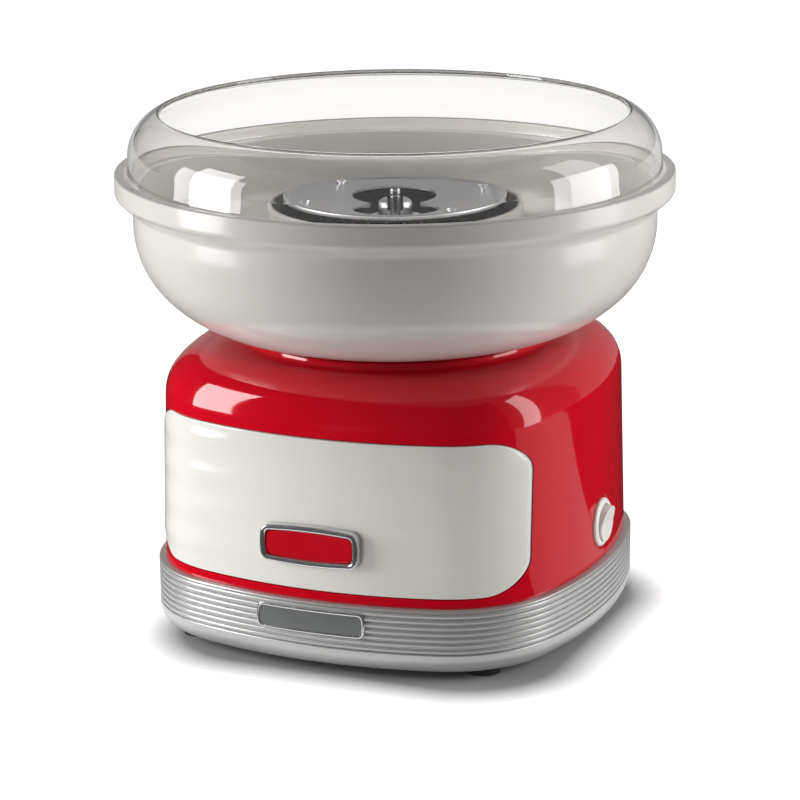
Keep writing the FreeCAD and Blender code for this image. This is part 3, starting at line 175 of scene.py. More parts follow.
def bowed_side(start: Vector, end: Vector, bow: float, steps: int) -> list[Vector]:
    """Points along the side between two corners, both ends included.

    Args:
        start: The corner that it leaves.
        end: The corner that it reaches.
        bow: Its radius, positive where it bulges to its left and 0 where it is straight.
        steps: Pieces that a bowed side is cut into.

    Returns:
        The side's points.
    """
    if not bow:
        return [start, end]
    chord = end - start
    left = Vector((-chord.y, chord.x)).normalized()
    reach = math.sqrt(bow * bow - chord.length_squared / 4)
    centre = (start + end) / 2 - left * math.copysign(reach, bow)
    spoke = start - centre
    sweep = 2 * math.asin(chord.length / 2 / abs(bow)) * (-1 if bow > 0 else 1)
    turns = (sweep * step / steps for step in range(steps + 1))
    return [centre + Matrix.Rotation(turn, 2) @ spoke for turn in turns]


def trimmed(line: list[Vector], length: float) -> list[Vector]:
    """The line without its first stretch of the given length."""
    points = list(line)
    while len(points) > 2 and (points[1] - points[0]).length <= length:
        length -= (points[1] - points[0]).length
        points.pop(0)
    gap = (points[1] - points[0]).length
    points[0] = points[0].lerp(points[1], min(length / gap, 0.95))
    return points


def braced(line: list[Vector], hold: float = 0.25) -> list[Vector]:
    """Brace a straight side with a point near either end, so soft corners don't shade it.

    Args:
        line: The side's points.
        hold: How far from its ends the added points lie.

    Returns:
        The side's points, unchanged where it is bowed or short.
    """
    if len(line) > 2 or (line[1] - line[0]).length < 4 * hold:
        return line
    along = (line[1] - line[0]).normalized() * hold
    return [line[0], line[0] + along, line[1] - along, line[1]]


def section(*corners: Corner, steps: int = 12, soft_steps: int = 4) -> list[Vector]:
    """Sample a closed section with bowed sides and soft corners.

    Args:
        *corners: The section's corners, in order.
        steps: Pieces that each bowed side is cut into.
        soft_steps: Pieces that each soft corner is cut into.

    Returns:
        The section's points, without a repeat of the first.
    """
    spots = [Vector((corner.x, corner.z)) for corner in corners]
    sides = [
        bowed_side(spot, spots[(at + 1) % len(spots)], corners[at].bow, steps)
        for at, spot in enumerate(spots)
    ]
    for at, corner in enumerate(corners):
        if corner.soft:
            sides[at] = trimmed(sides[at], corner.soft)
            sides[at - 1] = trimmed(sides[at - 1][::-1], corner.soft)[::-1]
    sides = [braced(side) for side in sides]
    points: list[Vector] = []
    for at, corner in enumerate(corners):
        if corner.soft:
            first, last = sides[at - 1][-1], sides[at][0]
            for step in range(1, soft_steps):
                share = step / soft_steps
                near = first.lerp(spots[at], share)
                points.append(near.lerp(spots[at].lerp(last, share), share))
        points.extend(sides[at])
        if not corners[(at + 1) % len(corners)].soft:
            points.pop()
    return points


class Draft:
    """A mesh in the making: points in millimetres and faces between their numbers."""

    def __init__(self, name: str) -> None:
        """Start an empty draft under the piece's name."""
        self.name = name
        self.points: list[tuple[float, float, float]] = []
        self.faces: list[tuple[int, ...]] = []

    def ring(self, points: Iterable[Sequence[float]]) -> list[int]:
        """Add points and return their numbers."""
        first = len(self.points)
        self.points.extend(tuple(point) for point in points)
        return list(range(first, len(self.points)))

    def bridge(self, first: Sequence[int], second: Sequence[int]) -> None:
        """Join two closed rings, or a ring and a single point."""
        count = max(len(first), len(second))
        for at in range(count):
            after = (at + 1) % count
            face = [first[at % len(first)], first[after % len(first)],
                    second[after % len(second)], second[at % len(second)]]
            self.faces.append(tuple(dict.fromkeys(face)))

    def stack(self, rings: Sequence[Sequence[int]], closed: bool = False) -> None:
        """Join rings one after another, and the last to the first when closed."""
        for first, second in zip(rings, rings[1:]):
            self.bridge(first, second)
        if closed:
            self.bridge(rings[-1], rings[0])

    def zip_shut(self, ring: Sequence[int]) -> None:
        """Close a ring whose points mirror each other across its first point."""
        count = len(ring)
        for at in range(count // 2):
            face = [ring[at], ring[at + 1], ring[(count - at - 1) % count], ring[-at % count]]
            self.faces.append(tuple(dict.fromkeys(face)))

    def finish(self, sharp: float = SHARP) -> bpy.types.Object:
        """Make the piece, with its faces outwards and edges past an angle kept sharp."""
        mesh = bpy.data.meshes.new(self.name)
        mesh.from_pydata([Vector(point) * MM for point in self.points], [], self.faces)
        build = bmesh.new()
        build.from_mesh(mesh)
        bmesh.ops.remove_doubles(build, verts=build.verts, dist=1e-7)
        bmesh.ops.recalc_face_normals(build, faces=build.faces)
        build.to_mesh(mesh)
        build.free()
        return shaded(placed(self.name, mesh), sharp)


def shaded(piece: bpy.types.Object, sharp: float = SHARP) -> bpy.types.Object:
    """Shade a piece smooth, apart from edges that turn by more than an angle in degrees."""
    piece.data.shade_smooth()
    piece.data.set_sharp_from_angle(angle=math.radians(sharp))
    return piece


def lathe(name: str, profile: Sequence[Vector], segments: int) -> bpy.types.Object:
    """Turn a closed section about the upright axis.

    Args:
        name: The piece's name.
        profile: The section's points, with their distance from the axis and height.
        segments: Steps round the axis.

    Returns:
        The piece.
    """
    draft = Draft(name)
    draft.stack([draft.ring((x, y, point.y) for x, y in circle(point.x, segments))
                 for point in profile], closed=True)
    return draft.finish()


def baked(piece: bpy.types.Object) -> bpy.types.Object:
    """Turn a piece's modifiers into a plain mesh."""
    bpy.context.view_layer.update()
    graph = bpy.context.evaluated_depsgraph_get()
    mesh = bpy.data.meshes.new_from_object(piece.evaluated_get(graph))
    piece.modifiers.clear()
    mesh.name = piece.name
    piece.data = mesh
    return shaded(piece)


def carved(piece: bpy.types.Object, *cutters: bpy.types.Object) -> bpy.types.Object:
    """Cut solids out of a piece and remove them."""
    for cutter in cutters:
        knife = piece.modifiers.new("carve", "BOOLEAN")
        knife.operation = "DIFFERENCE"
        knife.solver = "EXACT"
        knife.object = cutter
    baked(piece)
    for cutter in cutters:
        bpy.data.objects.remove(cutter)
    return piece


def rod(
    name: str, radius: float, start: Sequence[float], end: Sequence[float], segments: int = 64
) -> bpy.types.Object:
    """A plain round bar that cuts a hole.

    Args:
        name: Its name.
        radius: Its radius.
        start: Middle of one end.
        end: Middle of the other end.
        segments: Steps round it.

    Returns:
        The bar.
    """
    turn = (Vector(end) - Vector(start)).to_track_quat("Z", "Y")
    draft = Draft(name)
    draft.stack([draft.ring(Vector(base) + turn @ Vector((*spoke, 0.0))
                            for spoke in circle(size, segments))
                 for base, size in ((start, 0.0), (start, radius), (end, radius), (end, 0.0))])
    return draft.finish()


# --- Geometry Nodes --------------------------------------------------------------------


class Repeater:
    """A Geometry Nodes tree that makes a repeated thing and becomes a plain mesh."""

    SOCKETS = {float: "NodeSocketFloat", int: "NodeSocketInt",
               bpy.types.Object: "NodeSocketObject", bpy.types.Material: "NodeSocketMaterial"}

    def __init__(self, name: str, **inputs: object) -> None:
        """Start a tree with named inputs.

        Args:
            name: The name of the piece and of its tree.
            **inputs: The tree's inputs, each with its value.
        """
        self.name = name
        self.values = inputs
        self.tree = bpy.data.node_groups.new(name, "GeometryNodeTree")
        face = self.tree.interface
        face.new_socket("Geometry", in_out="OUTPUT", socket_type="NodeSocketGeometry")
        self.sockets = {}
        for key, value in inputs.items():
            kind = next(kind for base, kind in self.SOCKETS.items() if isinstance(value, base))
            self.sockets[key] = face.new_socket(
                key.replace("_", " ").capitalize(), in_out="INPUT", socket_type=kind)
        self.entry = self.tree.nodes.new("NodeGroupInput")

    def given(self, key: str) -> bpy.types.NodeSocket:
        """The output socket of one of the tree's inputs."""
        return self.entry.outputs[list(self.values).index(key)]

    def piece(self, geometry: bpy.types.NodeSocket) -> bpy.types.Object:
        """End the tree, run it once and return its result as a plain piece.

        Args:
            geometry: The socket that holds the finished instances.

        Returns:
            A plain mesh object with no modifier.
        """
        real = add_node(self.tree, "GeometryNodeRealizeInstances", {0: geometry})
        painted = add_node(self.tree, "GeometryNodeSetMaterial",
                           {0: real.outputs[0], "Material": self.given("finish")})
        add_node(self.tree, "NodeGroupOutput", {0: painted.outputs[0]})
        piece = placed(self.name, bpy.data.meshes.new(self.name))
        modifier = piece.modifiers.new(self.name, "NODES")
        modifier.node_group = self.tree
        for key, value in self.values.items():
            modifier[self.sockets[key].identifier] = value
        return baked(piece)


# --- Finishes --------------------------------------------------------------------------


@dataclass(frozen=True)
class Recipe:
    """A material in the making."""

    tree: bpy.types.NodeTree
    place: bpy.types.NodeSocket  # where a point lies on the piece
    shader: bpy.types.Node

    def feed(self, socket: str, node: bpy.types.Node, output: int = 0) -> None:
        """Link a node's output to one of the shader's sockets."""
        self.tree.links.new(node.outputs[output], self.shader.inputs[socket])

    def noise(self, size: float, detail: float = 2.0) -> bpy.types.NodeSocket:
        """A noise field whose patches are about a size in millimetres across."""
        return add_node(self.tree, "ShaderNodeTexNoise", {
            "Vector": self.place, "Scale": 1 / (size * MM), "Detail": detail}).outputs[0]

    def raise_by(self, height: bpy.types.NodeSocket, depth: float) -> None:
        """Tilt the surface by a field of heights with a depth in millimetres."""
        self.feed("Normal", add_node(self.tree, "ShaderNodeBump", {
            "Height": height, "Distance": depth * MM, "Strength": 1.0}))


@dataclass(frozen=True)
class Finish:
    """A surface finish with a fine grain, a slow shift of colour and uneven gloss."""

    name: str  # what the real material is
    colour: str  # its main colour as sRGB hex
    shade: str  # the colour that it drifts to
    roughness: tuple[float, float]  # lowest and highest roughness
    metallic: float = 0.0  # one for a metal
    ior: float = 1.5  # index of refraction; a metal keeps the default
    coat: float = 0.0  # weight of a clear coat
    grain: float = 1.0  # size of the surface's grain in millimetres
    relief: float = 0.01  # depth of the grain in millimetres
    drift: float = 40.0  # size of the patches of colour in millimetres

    def material(self) -> bpy.types.Material:
        """Make the material, or return the one already made."""
        made = bpy.data.materials.get(self.name)
        if made:
            return made
        material = bpy.data.materials.new(self.name)
        tree = blank_tree(material)
        shader = add_node(tree, "ShaderNodeBsdfPrincipled", {
            "Metallic": self.metallic, "IOR": self.ior, "Coat Weight": self.coat,
            "Coat Roughness": 0.03})
        recipe = Recipe(tree, add_node(tree, "ShaderNodeTexCoord").outputs["Object"], shader)
        self.colour_nodes(recipe)
        self.gloss_nodes(recipe)
        self.relief_nodes(recipe)
        self.extra_nodes(recipe)
        add_node(tree, "ShaderNodeOutputMaterial", {"Surface": shader.outputs[0]})
        return material

    def colour_nodes(self, recipe: Recipe) -> None:
        """Let the colour drift slowly between its two values."""
        recipe.feed("Base Color", add_node(recipe.tree, "ShaderNodeMix", {
            0: recipe.noise(self.drift), 6: linear(self.colour), 7: linear(self.shade)},
            data_type="RGBA"), 2)

    def gloss_nodes(self, recipe: Recipe) -> None:
        """Spread the roughness between its two values."""
        low, high = self.roughness
        recipe.feed("Roughness", add_node(recipe.tree, "ShaderNodeMapRange", {
            "Value": recipe.noise(self.drift / 3, 4.0),
            "From Min": 0.3, "From Max": 0.7, "To Min": low, "To Max": high}))

    def relief_nodes(self, recipe: Recipe) -> None:
        """Raise the grain."""
        recipe.raise_by(recipe.noise(self.grain), self.relief)

    def extra_nodes(self, recipe: Recipe) -> None:
        """Anything that one kind of finish adds."""


@dataclass(frozen=True)
class SpunMetal(Finish):
    """Sheet metal spun on a lathe: fine rings about the axis stretch its highlights."""

    ring_pitch: float = 0.8  # width of each ridge and each groove, in millimetres
    stretch: float = 0.7  # anisotropy of the highlights

    def relief_nodes(self, recipe: Recipe) -> None:
        """Cut faint rings about the axis."""
        wave = add_node(recipe.tree, "ShaderNodeTexWave", {
            "Vector": recipe.place, "Scale": math.pi / (self.ring_pitch * MM * WAVE_TURN),
            "Distortion": 0.4, "Detail": 2.0}, wave_type="RINGS", rings_direction="Z")
        recipe.raise_by(wave.outputs["Fac"], self.relief)

    def extra_nodes(self, recipe: Recipe) -> None:
        """Stretch the highlights across the rings."""
        recipe.feed("Tangent", add_node(
            recipe.tree, "ShaderNodeTangent", direction_type="RADIAL", axis="Z"))
        recipe.shader.inputs["Anisotropic"].default_value = self.stretch


@dataclass(frozen=True)
class ClearPlastic(Finish):
    """Transparent plastic, clear all through."""

    def extra_nodes(self, recipe: Recipe) -> None:
        """Let the light through."""
        recipe.shader.inputs["Transmission Weight"].default_value = 1.0


class Finishes(Enum):
    """Every finish of the machine, named for what it is."""

    # Glossy moulded ABS: deep colour under a hard, slightly uneven skin
    RED_ABS = Finish("red_abs_moulded", "#d0061f", "#c7051d", (0.05, 0.09), ior=1.54,
                     coat=0.3, grain=7.0, relief=0.004, drift=120.0)
    # The same plastic in the badge, a little duller from handling
    BADGE_RED = Finish("red_abs_badge", "#c9071f", "#b8051b", (0.10, 0.16), ior=1.54,
                       coat=0.4, grain=2.5, relief=0.004, drift=30.0)
    # Ivory gloss ABS, smooth as it leaves the mould
    IVORY_ABS = Finish("ivory_abs_panel", "#e4e2dc", "#dfddd7", (0.10, 0.16), ior=1.54,
                       coat=0.2, grain=9.0, relief=0.003, drift=90.0)
    # White moulded polypropylene: soft gloss with a fine mould texture
    WHITE_PP = Finish("white_polypropylene", "#dcd9d5", "#d5d2ce", (0.16, 0.24), ior=1.49,
                      grain=3.0, relief=0.006, drift=80.0)
    # White nylon of the switch: a drier, cooler white
    SWITCH_WHITE = Finish("white_nylon_switch", "#efeeea", "#e8e6e1", (0.18, 0.28), ior=1.52,
                          grain=1.2, relief=0.004, drift=10.0)
    # Clear polycarbonate: water-clear, with a hard bright rim
    CLEAR_PC = ClearPlastic("clear_polycarbonate", "#fffefd", "#fcfbf9", (0.0, 0.01),
                            ior=1.58, grain=60.0, relief=0.002)
    # Satin silver lacquer on ABS: fine metal flake under a soft sheen
    SILVER_PAINT = Finish("silver_lacquer_abs", "#c2c2c1", "#b8b8b7", (0.30, 0.38),
                          metallic=0.5, grain=0.5, relief=0.006, drift=2.0)
    # Etched aluminium foil plate: flat grey with a faint grain
    ETCHED_ALUMINIUM = Finish("etched_aluminium_plate", "#7d807f", "#737675", (0.42, 0.5),
                              metallic=0.6, grain=0.6, relief=0.004, drift=6.0)
    # Electroplated ABS: mirror-bright with slight waviness
    CHROME = Finish("chrome_plated_abs", "#dcdcdd", "#d0d0d2", (0.16, 0.26), metallic=0.9,
                    grain=5.0, relief=0.006, drift=12.0)
    # Bright aluminium sheet with the spinning tool's rings
    SPUN_ALUMINIUM = SpunMetal("spun_aluminium", "#e6e7e9", "#d9dadd", (0.10, 0.18),
                               metallic=1.0, relief=0.002, drift=25.0)
    # Ground steel shaft and pin
    GROUND_STEEL = Finish("ground_steel_shaft", "#c8c8ca", "#b9b9bc", (0.12, 0.22),
                          metallic=1.0, grain=0.4, relief=0.002, drift=6.0)
    # Aluminium inside the head, darkened to stand in for the shade that fills it: painted shade
    BAKED_ALUMINIUM = SpunMetal("baked_aluminium", "#2e2b29", "#1f1d1c", (0.35, 0.5),
                                metallic=1.0, relief=0.002, drift=12.0)
    # Bright zinc plating on pressed steel and screws
    ZINC_STEEL = Finish("zinc_plated_steel", "#b9bbbb", "#a5a9ab", (0.3, 0.42), metallic=1.0,
                        grain=2.0, relief=0.01, drift=5.0)
    # Sheath of the heating element, browned by heat
    INCOLOY = Finish("oxidised_heater_tube", "#6b6662", "#56504c", (0.4, 0.55), metallic=1.0,
                     grain=0.8, relief=0.01, drift=8.0)
    # Porous bronze of an oiled bush
    BRONZE = Finish("sintered_bronze", "#b07c4a", "#9a683b", (0.34, 0.46), metallic=1.0,
                    grain=0.3, relief=0.01, drift=3.0)
    # Unglazed steatite insulators
    STEATITE = Finish("steatite_ceramic", "#e4ddcf", "#d8cfbf", (0.5, 0.65), ior=1.6,
                      grain=0.5, relief=0.02, drift=4.0)
    # Black phenolic and glass-filled nylon: matt with a fine spark-eroded texture
    BLACK_NYLON = Finish("black_nylon_glass_filled", "#1b1b1c", "#232324", (0.42, 0.55),
                         ior=1.53, grain=0.5, relief=0.03, drift=25.0)
    # Black rubber: dull, with a dusty bloom
    RUBBER = Finish("black_rubber", "#151515", "#1f1f1f", (0.7, 0.85), ior=1.52, grain=0.6,
                    relief=0.04, drift=8.0)


def dress(
    piece: bpy.types.Object, finish: Finishes, body: str, slot: str, *nodes: str
) -> bpy.types.Object:
    """Paint a piece and set it on its body.

    Args:
        piece: The finished mesh, in place.
        finish: What it is made of.
        body: The CAD body that it moves with.
        slot: The record's material slot; not used.
        *nodes: CAD nodes that it stands for.

    Returns:
        The same piece.
    """
    piece.data.materials.clear()
    piece.data.materials.append(finish.value.material())
    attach(piece, body)
    if nodes:
        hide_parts(*nodes)
    LOG.info("%s: %d faces on %s", piece.name, len(piece.data.polygons), body)
    return piece


# Finishes of the CAD nodes that stay in sight
NODE_FINISHES: dict[Finishes, tuple[str, ...]] = {
    Finishes.BLACK_NYLON: ("bottom_plate", "motor_end_bell", "cooling_fan", "heater_tower",
                           "thermal_cutout"),
    Finishes.RUBBER: ("foot_front_right", "foot_front_left", "foot_rear_left",
                      "foot_rear_right", "cord_gland", "motor_mounts", "grip_ring"),
    Finishes.SWITCH_WHITE: ("switch_body",),
    Finishes.ZINC_STEEL: ("switch_terminals", "motor_can", "motor_bracket", "motor_screws",
                          "base_screws", "tower_screws"),
    Finishes.GROUND_STEEL: ("motor_shaft", "drive_pin"),
    # Inside of the head: aluminium painted dark for the shade in there
    Finishes.BAKED_ALUMINIUM: ("heater_cup", "emitter_band", "head_bottom_pan"),
    Finishes.SPUN_ALUMINIUM: ("head_hub", "head_rivets"),
    Finishes.INCOLOY: ("heater_element",),
    Finishes.STEATITE: ("ceramic_posts",),
    Finishes.BRONZE: ("shaft_bush",),
}


def paint_nodes() -> None:
    """Give each CAD node that stays in sight its finish."""
    for finish, nodes in NODE_FINISHES.items():
        for node in nodes:
            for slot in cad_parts[node].material_slots:
                slot.material = finish.value.material()
        LOG.info("%s: %s", finish.value.name, ", ".join(nodes))


# --- The base's plan -------------------------------------------------------------------


@dataclass(frozen=True)
class Plan:
    """The base's plan: four bowed sides, tangent to four round corners."""

    half_width: float = 110.3  # half the width at the foot, between the bowed sides
    half_depth: float = 108.9  # half the depth at the foot
    side_bow: float = 230.0  # radius of the bowed sides
    corner_round: float = 58.0  # radius of the corners

    def corner_centre(self) -> Vector:
        """Centre of the rear right corner's arc."""
        back_x = self.side_bow - self.half_width
        back_y = self.side_bow - self.half_depth
        span = math.hypot(back_x, back_y)
        rise = math.sqrt((self.side_bow - self.corner_round) ** 2 - (span / 2) ** 2)
        return Vector((-back_x / 2 + rise * back_y / span, -back_y / 2 + rise * back_x / span))

    def loop(
        self, grow: float, side_steps: int = 36, corner_steps: int = 24
    ) -> list[tuple[float, float]]:
        """The plan's outline, moved outwards by grow.

        Args:
            grow: How far outside the plan the outline lies.
            side_steps: Pieces that each side is cut into.
            corner_steps: Pieces that each corner is cut into.

        Returns:
            Points round the outline, anticlockwise from the right-hand side.
        """
        corner = self.corner_centre()
        back_x = self.side_bow - self.half_width
        back_y = self.side_bow - self.half_depth
        half_x = math.atan2(corner.y, corner.x + back_x)
        half_y = math.atan2(corner.x, corner.y + back_y)
        across, along = (back_x, half_x, half_y), (back_y, half_y, half_x)
        points = []
        for turn, (right, rear) in enumerate(((1, 1), (-1, 1), (-1, -1), (1, -1))):
            middle = turn * math.pi / 2
            back, half, following = along if turn % 2 else across
            points += arc((-back * math.cos(middle), -back * math.sin(middle)),
                          self.side_bow + grow, middle - half, middle + half, side_steps)[:-1]
            points += arc((corner.x * right, corner.y * rear), self.corner_round + grow,
                          middle + half, middle + math.pi / 2 - following, corner_steps)[:-1]
        return points

    def ring(self, draft: Draft, grow: float, z: float) -> list[int]:
        """Add the outline, moved outwards by grow, to a draft at a height."""
        return draft.ring((x, y, z) for x, y in self.loop(grow))

    def front(self, x: float, grow: float) -> float:
        """The front's y at a distance from the middle."""
        corner = self.corner_centre()
        back_y = self.side_bow - self.half_depth
        half_y = math.atan2(corner.x, corner.y + back_y)
        if abs(x) <= (self.side_bow + grow) * math.sin(half_y):
            return back_y - math.sqrt((self.side_bow + grow) ** 2 - x * x)
        reach = abs(x) - corner.x
        return -corner.y - math.sqrt((self.corner_round + grow) ** 2 - reach * reach)


PLAN = Plan()


@dataclass(frozen=True)
class Draught:
    """How the shell leans inwards from its foot to its deck."""

    foot: float = 37.4
    deck: float = 146.0
    inset: float = 2.7

    def lean(self, z: float) -> float:
        """How far the wall has moved out at a height; negative is inwards."""
        return -self.inset * (z - self.foot) / (self.deck - self.foot)


DRAUGHT = Draught()


@dataclass(frozen=True)
class Field:
    """A front-view outline: a box with round corners and bowed sides."""

    half_x: float  # half its width
    half_z: float  # half its height
    height: float  # height of its middle
    radius: float  # radius of its corners
    bow_x: float = 0.0  # how far its ends bulge
    bow_z: float = 0.0  # how far its long sides bulge

    def grown(self, gap: float) -> "Field":
        """The same outline, larger by a gap all round."""
        return replace(self, half_x=self.half_x + gap, half_z=self.half_z + gap,
                       radius=self.radius + gap)

    def loop(
        self, inset: float, steps: int = 12, side_steps: int = 48
    ) -> list[tuple[float, float]]:
        """The outline moved inwards.

        Args:
            inset: How far inwards.
            steps: Pieces that each corner is cut into.
            side_steps: Pieces that each long side is cut into.

        Returns:
            Its points, as x and z, from its left end.
        """
        half_x, half_z = self.half_x - inset, self.half_z - inset
        radius = max(min(self.radius - inset, half_z * INMOST), half_z * 0.3, 0.05)
        start = radius - half_x
        lower = [(-half_x, -share * (half_z - radius) / 4) for share in range(4)]
        lower += arc((start, radius - half_z), radius, math.pi, 1.5 * math.pi, steps)
        lower += [(start * (1 - 2 * step / side_steps), -half_z)
                  for step in range(1, side_steps // 2)]
        lower.append((0.0, -half_z))
        lower += [(-x, z) for x, z in reversed(lower[:-1])]
        whole = lower + [(x, -z) for x, z in reversed(lower[1:-1])]
        return [self.warped(x, z) for x, z in whole]

    def warped(self, x: float, z: float) -> tuple[float, float]:
        """A point of the plain box, moved to the bowed outline."""
        wide = 1 + self.bow_x / self.half_x * (1 - (z / self.half_z) ** 2)
        tall = 1 + self.bow_z / self.half_z * (1 - (x / self.half_x) ** 2)
        return x * wide, self.height + z * tall


def draped(
    name: str,
    outline: Field,
    rows: Sequence[tuple[float, float]],
    surface: Callable[[float, float, float], float],
    closed: bool = False,
) -> bpy.types.Object:
    """A slab or rim that follows a surface.

    Args:
        name: The piece's name.
        outline: Its front view.
        rows: Inset from the outline and height above the surface, row by row.
        surface: Gives y for x, z and a height above the surface.
        closed: Whether the rows form a closed rim rather than a slab.

    Returns:
        The piece.
    """
    draft = Draft(name)
    rings = [draft.ring((x, surface(x, z, grow), z) for x, z in outline.loop(inset))
             for inset, grow in rows]
    draft.stack(rings, closed)
    if not closed:
        draft.zip_shut(rings[0])
        draft.zip_shut(rings[-1])
    return draft.finish()


def slab_rows(
    half: float, top: float, back: float, edge: float, pitch: float = 4.0
) -> list[tuple[float, float]]:
    """Rows of a slab: from the middle of its face, round its edge to its back.

    Args:
        half: The shorter half size of its outline.
        top: Height of its face.
        back: Height of its back.
        edge: Radius of its front edge.
        pitch: Distance between rows.

    Returns:
        Inset and height of each row.
    """
    deep = half * INMOST
    count = max(2, round((deep - edge) / pitch))
    face = [(deep + (edge - deep) * at / count, top) for at in range(count + 1)]
    bend = arc((edge, top - edge), edge, math.pi / 2, math.pi, 5)[1:]
    rear = [(inset, back) for inset, _ in reversed(face)]
    return face + bend + [(0.0, back)] + rear


def shell_surface(x: float, z: float, grow: float) -> float:
    """The shell's front at a point, moved outwards by grow."""
    return PLAN.front(x, grow + DRAUGHT.lean(z))


def plan_surface(x: float, z: float, grow: float) -> float:
    """The front of the plan without its lean, moved outwards by grow; the same at any z."""
    return PLAN.front(x, grow)


# --- Sub-assemblies --------------------------------------------------------------------


@dataclass(frozen=True)
class Port:
    """A stepped round hole in the shell, for a part that sits in it."""

    seat: tuple[float, float, float]  # middle of the face that the part's flange sits on
    outwards: tuple[float, float, float]  # direction out of the shell
    pocket: float  # radius of the pocket round the flange
    bore: float  # radius of the hole behind it
    reach: float = 16.0  # how far its cutters stand out of the seat
    depth: float = 9.0  # how far the bore's cutter goes in

    def cutters(self) -> list[bpy.types.Object]:
        """The bars that cut the pocket and the bore."""
        seat, outwards = Vector(self.seat), Vector(self.outwards)
        end = seat + outwards * self.reach
        return [rod("port_pocket", self.pocket, seat, end),
                rod("port_bore", self.bore, seat - outwards * self.depth, end)]


SWITCH_PORT = Port((108.9, 3.0, 56.0), (1.0, 0.0, 0.0), 14.0, 10.55)
GLAND_PORT = Port((0.0, 107.5, 52.0), (0.0, 1.0, 0.0), 8.15, 5.35)


@dataclass
class BaseShell:
    """Red shell with drafted walls, round shoulder, deck and neck, and its front panel."""

    wall: float = 2.5
    shoulder: float = 24.0
    neck_radius: float = 78.0
    neck_cove: float = 2.5  # radius of the hollow round the neck's foot
    neck_step: float = 74.5  # radius of the neck's upper step
    neck_edge: float = 0.4  # rounding of the steps
    step_height: float = 148.9  # top of the lower step
    seat_height: float = 150.7  # top of the upper step, where the bowl sits
    neck_bore: float = 61.1  # radius of the neck's bore
    panel: Field = Field(98.0, 37.85, 80.15, 16.0)
    panel_gap: float = 0.6  # gap round the panel
    panel_proud: float = 0.7  # how far the panel stands out of the shell
    panel_edge: float = 0.8  # rounding of the panel's edge
    panel_back: float = -1.2  # the panel's back, from the shell's face
    pocket_floor: float = -1.5  # floor of the panel's pocket, from the shell's face
    ripple: float = 0.42  # height of the panel's level ripples
    ripple_pitch: float = 17.8  # distance between their crests
    ripple_crest: float = 55.2  # height of one crest
    # Distances from the middle between which the ripples set in and die out
    ripple_rise: tuple[float, float] = (22.0, 64.0)
    ripple_fall: tuple[float, float] = (90.0, 98.0)

    def wall_rows(
        self, grow: float, wall_steps: int = 28, shoulder_steps: int = 16
    ) -> list[tuple[float, float]]:
        """One face of the wall and the shoulder, from the foot to the deck.

        Args:
            grow: How far outside the shell's outer face it lies.
            wall_steps: Pieces that the wall is cut into.
            shoulder_steps: Pieces that the shoulder is cut into.

        Returns:
            Offset from the plan and height of each row.
        """
        foot, deck = DRAUGHT.foot, DRAUGHT.deck
        lean = math.atan(DRAUGHT.inset / (deck - foot))
        centre_z = deck - self.shoulder
        centre = (-self.shoulder - (centre_z - foot) * math.sin(lean)) / math.cos(lean)
        heights = [foot + (centre_z - foot) * at / wall_steps for at in range(wall_steps)]
        return [(grow + DRAUGHT.lean(z), z) for z in heights] + arc(
            (centre, centre_z), self.shoulder + grow, lean, math.pi / 2, shoulder_steps)

    def skin(self, draft: Draft, grow: float) -> list[list[int]]:
        """Rings of points up one face of the wall."""
        return [PLAN.ring(draft, offset, z) for offset, z in self.wall_rows(grow)]

    def neck(self, draft: Draft, edge: Sequence[int]) -> list[list[int]]:
        """Rings of the deck's inner part and the neck, in line with the shoulder's."""
        angles = [math.atan2(draft.points[at][1], draft.points[at][0]) for at in edge]
        cove = (self.neck_radius + self.neck_cove, DRAUGHT.deck + self.neck_cove)
        rows = [
            *arc(cove, self.neck_cove, -math.pi / 2, -math.pi, 6),
            *eased(self.neck_radius, self.step_height, self.neck_edge),
            (self.neck_step, self.step_height),
            *eased(self.neck_step, self.seat_height, self.neck_edge),
            (self.neck_bore, self.seat_height),
            (self.neck_bore, DRAUGHT.deck - self.wall),
        ]
        return [draft.ring((radius * math.cos(angle), radius * math.sin(angle), z)
                           for angle in angles) for radius, z in rows]

    def panel_surface(self, x: float, z: float, grow: float) -> float:
        """The panel's front, where the ribs behind print through as level ripples.

        Args:
            x: Distance from the middle.
            z: Height.
            grow: Height above the shell; the ripples die out towards the panel's back.

        Returns:
            The point's y.
        """
        fade = min(max(grow / self.panel_proud, 0.0), 1.0)
        for low, high in (self.ripple_rise, self.ripple_fall[::-1]):
            share = min(max((abs(x) - low) / (high - low), 0.0), 1.0)
            fade *= share * share * (3 - 2 * share)
        turn = math.tau * (z - self.ripple_crest) / self.ripple_pitch
        return shell_surface(x, z, grow + self.ripple * fade * math.cos(turn))

    def build(self) -> None:
        """Make the shell and set it on the base."""
        draft = Draft("shell")
        outer = self.skin(draft, 0.0)
        neck = self.neck(draft, outer[-1])
        inner = self.skin(draft, -self.wall)
        draft.stack(outer + neck + inner[::-1], closed=True)
        shell = draft.finish()
        recess = self.panel.grown(self.panel_gap)
        pocket = draped("panel_pocket", recess,
                        slab_rows(recess.half_z, 4.0, self.pocket_floor, 0.3, 8.0),
                        shell_surface)
        carved(shell, pocket, *SWITCH_PORT.cutters(), *GLAND_PORT.cutters())
        dress(shell, Finishes.RED_ABS, "base", "red_shell", "base_housing")

        rows = slab_rows(self.panel.half_z, self.panel_proud, self.panel_back,
                         self.panel_edge, 1.6)
        panel = draped("front_panel_skin", self.panel, rows, self.panel_surface)
        dress(panel, Finishes.IVORY_ABS, "base", "cream_panel", "front_panel")


